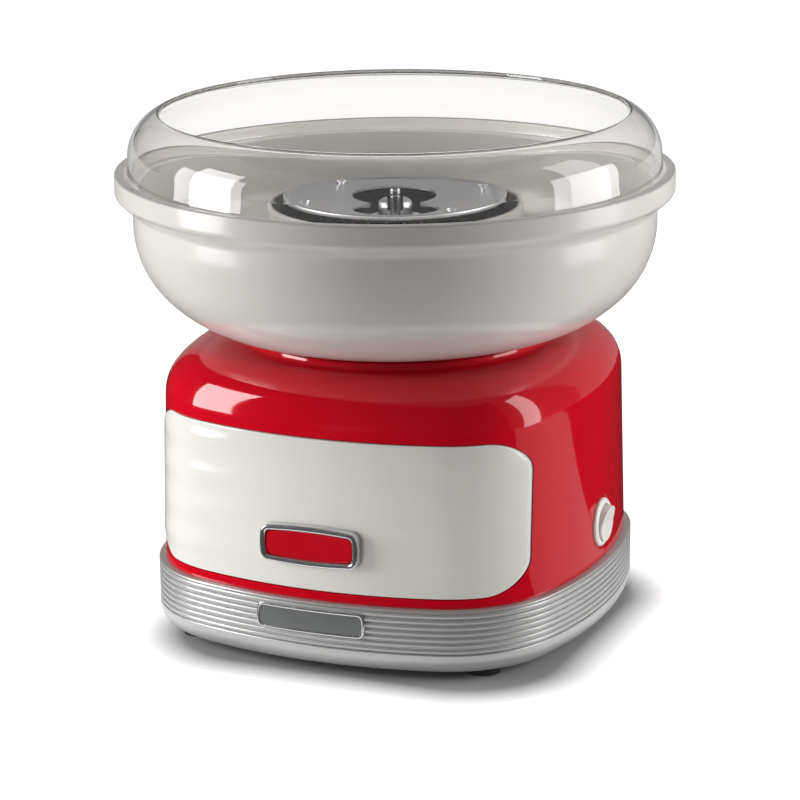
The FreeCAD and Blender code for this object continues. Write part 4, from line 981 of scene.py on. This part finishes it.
@dataclass
class Badge:
    """Chromed bezel with a plain red plate in it."""

    # The bezel's front view
    outline: Field = Field(24.9, 8.9, 65.0, 3.4, bow_x=1.1, bow_z=1.5)
    band: float = 2.9
    front: float = 113.0  # how far its front stands before the axis
    flank: float = 4.0  # how deep it reaches behind its front
    crown: float = 0.38  # share of that depth that its round front takes
    seat: float = 0.75  # its back, from the shell's face
    sunk: float = 1.2  # how far the plate lies behind the front
    gap: float = 0.1  # gap round the plate

    def surface(self, x: float, z: float, grow: float) -> float:
        """Flat at the badge's front, and on the panel's face behind it."""
        if grow <= 0:
            return shell_surface(x, z, self.seat)
        return -self.front + (1 - grow) * self.flank

    def build(self) -> None:
        """Make the bezel and its plate."""
        half = self.band / 2
        turns = [math.pi * step / 12 for step in range(1, 12)]
        rows = [(0.0, 0.0), (0.0, 0.5)]
        rows += [(half - half * math.cos(turn), 1 - self.crown + self.crown * math.sin(turn))
                 for turn in turns]
        rows += [(self.band, 0.5), (self.band, 0.0)]
        bezel = draped("badge_rim", self.outline, rows, self.surface, closed=True)
        dress(bezel, Finishes.CHROME, "base", "chrome_trim", "badge_bezel")

        inset = self.band + self.gap
        inner = Field(self.outline.half_x - inset, self.outline.half_z - inset,
                      self.outline.height, 1.2, bow_x=1.0, bow_z=1.2)
        level = 1 - self.sunk / self.flank
        rows = [(at, level) for at in (5.6, 4.0, 2.0, 0.7)]
        rows += [(0.2, level - 0.04), (0.0, level - 0.14), (0.0, 0.0), (2.0, 0.0), (5.6, 0.0)]
        plate = draped("badge_plate", inner, rows, self.surface)
        dress(plate, Finishes.BADGE_RED, "base", "red_shell", "badge_insert")


@dataclass
class Skirt:
    """Silver skirt with a stack of ribs, a bullnosed foot and a plain plate."""

    low: float = 4.3
    top: float = 37.2
    proud: float = 3.5  # how far it stands out of the base's plan
    wall: float = 3.0
    lip: float = 2.2  # how far the lip at its foot reaches in
    lip_height: float = 2.0  # height of that lip
    bullnose: float = 8.0  # radius of its foot
    rib_low: float = 14.9  # lower edge of the lowest rib
    rib_pitch: float = 3.0
    rib_count: int = 7
    groove: float = 0.5  # width of the groove between two ribs
    depth: float = 1.0  # depth of the grooves
    # Outline of its plate
    plate: Field = Field(27.4, 6.4, 27.5, 1.6, bow_x=1.4)
    plate_border: float = 1.5  # width of the plate's border
    plate_proud: float = 1.0  # how far the border stands out of the skirt
    plate_sunk: float = 0.55  # how far the field lies behind the border

    def profile(self) -> list[tuple[float, float]]:
        """Offsets and heights round the skirt's section, ribs left out."""
        root = self.proud - self.depth
        centre = (self.proud - self.bullnose, self.low + self.bullnose)
        rows = [(-self.wall - self.lip, self.low),
                *arc(centre, self.bullnose, -math.pi / 2, 0.0, 12)]
        rows += [(self.proud, self.rib_low - 0.5), (self.proud - 0.3, self.rib_low - 0.1),
                 (root, self.rib_low), (root, self.top - 1.3),
                 (self.proud - 0.25, self.top - 1.15), (self.proud, self.top - 0.75),
                 (self.proud - 0.2, self.top - 0.15), (self.proud - 0.6, self.top),
                 (-self.wall, self.top), (-self.wall, self.low + self.lip_height),
                 (-self.wall - self.lip, self.low + self.lip_height)]
        return rows

    def build(self) -> None:
        """Make the skirt, its ribs and its plate."""
        draft = Draft("skirt")
        draft.stack([PLAN.ring(draft, offset, z) for offset, z in self.profile()], closed=True)
        dress(draft.finish(30.0), Finishes.SILVER_PAINT, "base", "silver_skirt", "base_skirt")
        self.build_ribs()
        self.build_plate()

    def build_ribs(self) -> None:
        """Sweep one rib round the plan and stack copies of it."""
        path = Draft("rib_path")
        path.faces = [tuple(PLAN.ring(path, self.proud - self.depth, 0.0))]
        path_piece = path.finish()
        repeater = Repeater(
            "skirt_ribs", path=path_piece, count=self.rib_count, pitch=self.rib_pitch * MM,
            low=(self.rib_low + self.rib_pitch / 2) * MM,
            half_width=(self.rib_pitch - self.groove) / 2 * MM, depth=self.depth * MM,
            finish=Finishes.SILVER_PAINT.value.material())
        tree = repeater.tree
        source = add_node(tree, "GeometryNodeObjectInfo", {"Object": repeater.given("path")})
        track = add_node(tree, "GeometryNodeMeshToCurve", {0: source.outputs["Geometry"]})
        outline = add_node(tree, "GeometryNodeCurvePrimitiveCircle", {"Resolution": 20})
        size = add_node(tree, "ShaderNodeCombineXYZ", {
            "X": repeater.given("depth"), "Y": repeater.given("half_width"), "Z": 1.0})
        form = add_node(tree, "GeometryNodeTransform", {
            0: outline.outputs[0], "Scale": size.outputs[0]})
        rib = add_node(tree, "GeometryNodeCurveToMesh", {
            0: track.outputs[0], 1: form.outputs[0]})
        lift = add_node(tree, "ShaderNodeCombineXYZ", {"Z": repeater.given("pitch")})
        first = add_node(tree, "ShaderNodeCombineXYZ", {"Z": repeater.given("low")})
        places = add_node(tree, "GeometryNodeMeshLine", {
            "Count": repeater.given("count"), "Start Location": first.outputs[0],
            "Offset": lift.outputs[0]})
        ribs = add_node(tree, "GeometryNodeInstanceOnPoints", {
            "Points": places.outputs[0], "Instance": rib.outputs[0]})
        piece = repeater.piece(ribs.outputs[0])
        bpy.data.objects.remove(path_piece)
        dress(piece, Finishes.SILVER_PAINT, "base", "silver_skirt")

    def build_plate(self) -> None:
        """Make the plate's raised border and the dark field that it frames."""
        top, back, edge = self.proud + self.plate_proud, self.proud - 0.8, self.plate_border
        rows = [(0.0, back), (0.0, top - 0.5), (0.2, top - 0.15), (0.5, top),
                (edge - 0.5, top), (edge - 0.2, top - 0.15), (edge, top - 0.6), (edge, back)]
        border = draped("plate_rim", self.plate, rows, plan_surface, closed=True)
        dress(border, Finishes.CHROME, "base", "silver_skirt", "name_plate")
        insets = (6.2, 4.6, 3.0, edge - 0.2)
        rows = [(inset, top - self.plate_sunk) for inset in insets]
        rows += [(inset, back) for inset in reversed(insets)]
        plate = draped("plate_field", self.plate, rows, plan_surface)
        dress(plate, Finishes.ETCHED_ALUMINIUM, "base", "silver_skirt")


@dataclass
class RockerSwitch:
    """Round white rocker switch on the right-hand side."""

    flange: float = 12.4
    flange_height: float = 2.6  # its height over the shell's pocket
    bore: float = 9.6
    radius: float = 9.2
    pivot: tuple[float, float, float] = (110.3, 3.0, 56.0)
    face: float = 2.6  # the rocker's face, out from the pivot
    skirt: tuple[float, float] = (0.8, 4.0)  # inset and depth of the rocker's back edge
    rest: float = 8.0  # how far the rocker is tipped at rest, in degrees
    crease: float = 1.2  # softness of the line between its two halves
    count: int = 72  # steps round the rocker

    def build(self) -> None:
        """Make the flange and the rocker."""
        top = self.flange_height
        ring = lathe("switch_flange", section(
            Corner(self.bore, 0.15), Corner(self.flange, 0.15, soft=0.3),
            Corner(self.flange, top - 1.0, soft=0.7), Corner(self.flange - 1.6, top, soft=0.5),
            Corner(self.bore, top, soft=0.35)), 96)
        place = Matrix.Translation(Vector(SWITCH_PORT.seat) * MM)
        ring.data.transform(place @ Matrix.Rotation(math.pi / 2, 4, "Y"))
        dress(ring, Finishes.SWITCH_WHITE, "base", "white_plastic", "switch_bezel")
        self.build_rocker()

    def face_height(self, z: float) -> float:
        """How far the rocker's face stands out of its pivot."""
        slope = math.tan(math.radians(self.rest))
        return self.face + slope * (math.sqrt(z * z + self.crease) - 1.0)

    def build_rocker(self) -> None:
        """Make the rocker, tipped to its rest."""
        draft = Draft("rocker")
        full = self.radius
        rows = [(full * share, 0.0) for share in (0.0, 0.2, 0.4, 0.6, 0.75, 0.86, 0.93)]
        rows += [(full - 0.25, -0.06), (full - 0.07, -0.25), (full, -0.6)]
        rings = [draft.ring((self.face_height(z) + drop, y, z)
                            for y, z in circle(radius, self.count)) for radius, drop in rows]
        inset, back = self.skirt
        rings += [draft.ring((x, y, z) for y, z in circle(radius, self.count))
                  for radius, x in ((full, -1.0), (full - inset, -back), (0.0, -back))]
        draft.stack(rings)
        rocker = draft.finish()
        place = Matrix.Translation(Vector(self.pivot) * MM)
        rocker.data.transform(place @ Matrix.Rotation(math.radians(self.rest), 4, "Y"))
        dress(rocker, Finishes.SWITCH_WHITE, "rocker", "white_plastic", "switch_rocker")


@dataclass
class CatchBowl:
    """White bowl with a flange, a rebate for the guard and a collar round the head."""

    radius: float = 140.0
    top: float = 230.6
    bottom: float = 151.0  # underside of the bowl
    wall: float = 3.0
    wall_radius: float = 131.2  # radius of its upright wall
    wall_top: float = 213.7  # where the wall runs out into the flange
    # Radius and height where the flange's underside turns
    neck: tuple[float, float] = (137.3, 218.0)
    flange_low: float = 220.5  # lower edge of the flange
    belly: float = 50.0  # radius of the bend under the wall
    belly_height: float = 205.0  # where that bend starts
    haunch_height: float = 166.0  # where the bend meets the floor's
    foot: float = 76.0  # radius of the flat underside
    foot_round: float = 60.0  # radius of the floor's bend
    rebate: float = 134.9  # radius of the guard's rebate
    shelf: float = 225.0  # floor of the rebate
    collar: tuple[float, float] = (64.3, 61.5)  # outer and inner radius of the collar
    collar_top: float = 213.0

    def build(self) -> None:
        """Turn the bowl's section."""
        wall, outer, belly = self.wall, self.wall_radius, self.belly
        inner, floor = outer - wall, self.bottom + wall
        collar, bore = self.collar
        belly_x = outer - belly
        drop = self.belly_height - self.haunch_height
        haunch = math.sqrt(belly ** 2 - drop ** 2)
        share = (belly - wall) / belly
        profile = section(
            Corner(bore, self.bottom, soft=0.6), Corner(self.foot, self.bottom, -self.foot_round),
            Corner(belly_x + haunch, self.haunch_height, -belly),
            Corner(outer, self.belly_height), Corner(outer, self.wall_top, soft=2.0),
            Corner(*self.neck, soft=1.2), Corner(self.radius, self.flange_low, soft=1.2),
            Corner(self.radius, self.top, soft=1.0), Corner(self.rebate, self.top, soft=0.6),
            Corner(self.rebate, self.shelf, soft=0.4), Corner(inner, self.shelf, soft=1.2),
            Corner(inner, self.belly_height, belly - wall),
            Corner(belly_x + haunch * share, self.belly_height - drop * share,
                   self.foot_round - wall),
            Corner(self.foot, floor), Corner(collar, floor, soft=6.0),
            Corner(collar, self.collar_top, soft=1.2), Corner(bore, self.collar_top, soft=1.2),
            steps=24)
        bowl = lathe("bowl", profile, 256)
        dress(bowl, Finishes.WHITE_PP, "bowl", "white_plastic", "catch_bowl")


@dataclass
class Guard:
    """Clear ring that curves in to an open mouth."""

    foot: float = 134.6  # radius of its foot
    low: float = 225.3
    waist: float = 238.0  # where its wall starts to bend in
    lean: float = 1.4  # how far the wall leans in below the bend
    top: float = 260.2
    bend: float = 23.4  # radius of the bend
    wall: float = 2.2

    def build(self) -> None:
        """Turn the guard's section."""
        waist = self.foot - self.lean
        centre = waist - self.bend
        rise = self.top - self.waist
        mouth = centre + math.sqrt(self.bend ** 2 - rise ** 2)
        share = (self.bend - self.wall) / self.bend
        profile = section(
            Corner(self.foot - self.wall, self.low, soft=0.3),
            Corner(self.foot, self.low, soft=0.3), Corner(waist, self.waist, -self.bend),
            Corner(mouth, self.top, soft=0.5),
            Corner(centre + (mouth - centre) * share, self.waist + rise * share,
                   self.bend - self.wall, soft=0.5),
            Corner(waist - self.wall, self.waist), steps=20)
        guard = lathe("guard", profile, 256)
        guard.visible_shadow = False  # clear plastic lets the lamps shine through
        dress(guard, Finishes.CLEAR_PC, "guard", "clear_plastic", "guard_ring")


@dataclass
class FlossHead:
    """Dished plate of the spun head, with a double window."""

    radius: float = 56.0
    rim_top: float = 217.5
    rim_low: float = 215.0
    rim_width: float = 2.6
    dish: float = 5.6  # depth of its dish
    sheet: float = 1.0
    hub_hole: float = 8.5  # radius of the hole for the hub
    angle: float = 114.0  # where the windows lie, in degrees
    window: float = 21.5
    window_offset: float = 17.5  # distance of their middles from the axis
    cut: tuple[float, float] = (205.0, 225.0)  # heights between which they are cut

    def build(self) -> None:
        """Make the plate and cut its windows."""
        rim_inner = self.radius - self.rim_width
        dish_rim = self.rim_top - self.rim_width / 6
        bow = (rim_inner ** 2 + self.dish ** 2) / (2 * self.dish)
        floor = dish_rim - self.dish + bow - math.sqrt(bow * bow - self.hub_hole ** 2)
        profile = section(
            Corner(self.hub_hole, floor - self.sheet, -bow),
            Corner(rim_inner, self.rim_low - 0.1), Corner(self.radius, self.rim_low, soft=0.4),
            Corner(self.radius, self.rim_top, soft=1.2),
            Corner(rim_inner, self.rim_top - 0.2, soft=1.0),
            Corner(rim_inner - 0.7, dish_rim - 0.5, bow, soft=0.5),
            Corner(self.hub_hole, floor), steps=40)
        plate = lathe("head_plate", profile, 256)
        cutters = []
        for turn in (self.angle, self.angle + 180.0):
            spot = Matrix.Rotation(math.radians(turn), 2) @ Vector((self.window_offset, 0))
            cutters.append(rod("window", self.window, *((*spot, z) for z in self.cut), 128))
        carved(plate, *cutters)
        dress(plate, Finishes.SPUN_ALUMINIUM, "floss_head", "spun_aluminium", "head_top_plate")


# --- Studio ----------------------------------------------------------------------------


@dataclass(frozen=True)
class Card:
    """A flat or rolled card of the studio, seen in reflections and never by the camera."""

    name: str  # what the card is
    glow: float  # its radiance
    rings: tuple[tuple[float, float], ...]  # radius and height of each ring of its sheet
    # First and last azimuth in degrees; 0 is the front and 90 the right
    turns: tuple[float, float]
    through: bool = False  # whether clear pieces show it too

    def build(self) -> None:
        """Hang the card."""
        first, last = self.turns
        steps = max(1, round((last - first) / 6))
        points, faces = [], []
        for radius, z in self.rings:
            for step in range(steps + 1):
                turn = math.radians(first + (last - first) * step / steps)
                points.append((radius * math.sin(turn), -radius * math.cos(turn), z))
        for ring in range(len(self.rings) - 1):
            for step in range(steps):
                low = ring * (steps + 1) + step
                faces.append((low, low + 1, low + steps + 2, low + steps + 1))
        mesh = bpy.data.meshes.new(self.name)
        mesh.from_pydata(points, [], faces)
        material = bpy.data.materials.new(self.name)
        tree = blank_tree(material)
        glow = add_node(tree, "ShaderNodeEmission", {"Strength": self.glow})
        add_node(tree, "ShaderNodeOutputMaterial", {"Surface": glow.outputs[0]})
        mesh.materials.append(material)
        card = placed(self.name, mesh)
        card.visible_camera = card.visible_diffuse = card.visible_shadow = False
        card.visible_transmission = self.through


@dataclass(frozen=True)
class SoftLight:
    """A rectangular soft light; a card shows it in reflections."""

    name: str  # what the light is
    azimuth: float  # where it stands in degrees; 0 is the front and 90 the right
    reach: float  # its distance from the upright axis
    height: float  # height of its middle
    size: tuple[float, float]  # its width and height
    power: float  # its power in watts
    # How far it is raised from facing down, in degrees; 90 faces the axis level
    tilt: float = 90.0
    spread: float = 180.0  # angle that its grid lets through in degrees; 180 is no grid

    def build(self) -> None:
        """Stand the light up."""
        data = bpy.data.lights.new(self.name, "AREA")
        data.shape = "RECTANGLE"
        data.size, data.size_y = self.size
        data.energy = self.power
        data.spread = math.radians(self.spread)
        light = placed(self.name, data)
        light.matrix_world = (
            Matrix.Rotation(math.radians(self.azimuth), 4, "Z")
            @ Matrix.Translation((0.0, -self.reach, self.height))
            @ Matrix.Rotation(math.radians(self.tilt), 4, "X"))
        light.visible_glossy = False


@dataclass
class Studio:
    """White floor, soft lights, cards and the camera; its sizes are in metres."""

    # Where the camera stands
    camera_place: tuple[float, float, float] = (0.5891, -1.39981, 0.53235)
    heading: float = 22.7657  # how far it is turned to the left of facing +Y, in degrees
    pitch: float = 15.5623  # how far it looks down
    roll: float = -0.5186  # how far it is tilted sideways
    lens: float = 139.04
    fill: float = 0.12  # strength of the world's light
    # Middle of the shadow painted on the floor
    painted_shadow_place: tuple[float, float, float] = (0.010, -0.010, 0.0)
    # Half sizes of the painted shadow's core
    painted_shadow_core: tuple[float, float, float] = (0.052, 0.051, 0.0)
    # Distances from the core between which the painted shadow fades and the floor turns white
    painted_shadow_edge: tuple[float, float] = (0.047, 0.072)
    lights: tuple[SoftLight, ...] = (
        SoftLight("left_softbox", -58.0, 0.75, 0.26, (0.50, 0.48), 5.2),
        SoftLight("right_softbox", 106.0, 0.75, 0.245, (0.50, 0.43), 4.4),
        SoftLight("front_softbox", -16.0, 0.70, 0.06, (0.50, 0.10), 0.06, spread=24.0),
        SoftLight("top_light", 180.0, 0.45, 1.4, (1.0, 0.7), 1.8, tilt=18.0),
    )
    # Bright and dark cards, and what they stand in for
    cards: tuple[Card, ...] = (
        Card("left_card", 8.5, ((0.75, 0.06), (0.75, 0.64)), (-65.0, -43.5)),
        Card("right_card", 3.6, ((0.75, 0.02), (0.75, 0.85)), (95.0, 117.0)),
        Card("left_flag", 0.04, ((0.90, 0.003), (0.90, 1.50)), (-130.0, -30.0)),
        Card("front_flag", 0.04, ((1.0, 0.003), (1.0, 1.5)), (-45.0, 80.0)),
        Card("right_flag", 0.12, ((1.0, 0.003), (1.0, 1.5)), (80.0, 140.0)),
        Card("back_flag", 0.28, ((1.0, 0.22), (1.0, 1.5)), (140.0, 270.0), through=True),
        Card("low_flag", 0.28, ((1.0, 0.003), (1.0, 0.22)), (140.0, 230.0)),
        Card("roof_flag", 0.15, ((1.0, 1.5), (0.0, 1.5)), (0.0, 360.0), through=True),
        Card("floor_flag", 0.02, ((0.17, 0.003), (1.0, 0.003)), (130.0, 444.0)),
        Card("floor_card", 0.4, ((0.17, 0.003), (1.0, 0.003)), (84.0, 130.0)),
    )

    def camera(self) -> None:
        """Set the camera up."""
        data = bpy.data.cameras.new("camera")
        data.lens = self.lens
        data.clip_start, data.clip_end = 0.05, 20.0
        camera = placed("camera", data)
        turn = (Matrix.Rotation(math.radians(self.heading), 4, "Z")
                @ Matrix.Rotation(math.radians(90 - self.pitch), 4, "X")
                @ Matrix.Rotation(math.radians(self.roll), 4, "Z"))
        camera.matrix_world = Matrix.Translation(self.camera_place) @ turn
        bpy.context.scene.camera = camera

    def seen_white(self, tree: bpy.types.NodeTree) -> bpy.types.NodeSocket:
        """One for rays that see the background: camera, glossy and transmitted."""
        path = add_node(tree, "ShaderNodeLightPath").outputs
        seen = path["Is Camera Ray"]
        for other in ("Is Glossy Ray", "Is Transmission Ray"):
            seen = add_node(tree, "ShaderNodeMath", {0: seen, 1: path[other]},
                            operation="MAXIMUM").outputs[0]
        return seen

    def world(self) -> None:
        """White where it is seen, and a plain soft fill elsewhere."""
        world = bpy.data.worlds.new("studio")
        tree = blank_tree(world)
        level = add_node(tree, "ShaderNodeMapRange", {
            "Value": self.seen_white(tree), "To Min": self.fill, "To Max": 1.0})
        glow = add_node(tree, "ShaderNodeBackground", {
            "Color": (1.0, 1.0, 1.0, 1.0), "Strength": level.outputs[0]})
        add_node(tree, "ShaderNodeOutputWorld", {"Surface": glow.outputs[0]})
        bpy.context.scene.world = world

    def floor(self) -> None:
        """A white floor with a shadow painted round the machine's foot, where its glow fades out,
        over the shadow that the lamps cast.
        """
        material = bpy.data.materials.new("white_backdrop_paper")
        tree = blank_tree(material)
        seen = self.seen_white(tree)
        # The camera sees a darker paper than the light bounces off, which deepens the shadows on
        # it
        tone = add_node(tree, "ShaderNodeMix", {
            0: seen, 6: linear("#ececec"), 7: linear("#b2b0b1")}, data_type="RGBA")
        paper = add_node(tree, "ShaderNodeBsdfDiffuse", {"Color": tone.outputs[2]})
        # Painted shadow: the floor's glow fades out within a rounded box round the foot, set a
        # little to the front and right
        spot = add_node(tree, "ShaderNodeTexCoord").outputs["Object"]
        none = (0.0, 0.0, 0.0)
        for operation, other in (("SUBTRACT", self.painted_shadow_place), ("ABSOLUTE", none),
                                 ("SUBTRACT", self.painted_shadow_core), ("MAXIMUM", none)):
            spot = add_node(tree, "ShaderNodeVectorMath", {0: spot, 1: other},
                            operation=operation).outputs[0]
        reach = add_node(tree, "ShaderNodeVectorMath", {0: spot}, operation="LENGTH")
        low, high = self.painted_shadow_edge
        spread = add_node(tree, "ShaderNodeMapRange", {
            "Value": reach.outputs["Value"], "From Min": low, "From Max": high})
        share = add_node(tree, "ShaderNodeMath", {0: seen, 1: spread.outputs[0]},
                         operation="MULTIPLY")
        glow = add_node(tree, "ShaderNodeEmission", {"Strength": share.outputs[0]})
        both = add_node(tree, "ShaderNodeAddShader", {0: paper.outputs[0], 1: glow.outputs[0]})
        add_node(tree, "ShaderNodeOutputMaterial", {"Surface": both.outputs[0]})
        mesh = bpy.data.meshes.new("floor")
        mesh.from_pydata([(-6, -6, 0), (6, -6, 0), (6, 6, 0), (-6, 6, 0)], [], [(0, 1, 2, 3)])
        mesh.materials.append(material)
        placed("floor", mesh)

    def build(self) -> None:
        """Set up the whole studio."""
        self.camera()
        self.world()
        self.floor()
        for item in (*self.lights, *self.cards):
            item.build()
        bpy.context.scene.view_settings.view_transform = "Standard"


def main() -> None:
    """Build the studio and the machine."""
    logging.basicConfig(level=logging.INFO, format="%(message)s")
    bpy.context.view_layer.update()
    Studio().build()
    for assembly in (BaseShell(), Badge(), Skirt(), RockerSwitch(), CatchBowl(), Guard(),
                     FlossHead()):
        assembly.build()
    paint_nodes()


if __name__ == "__main__":
    main()
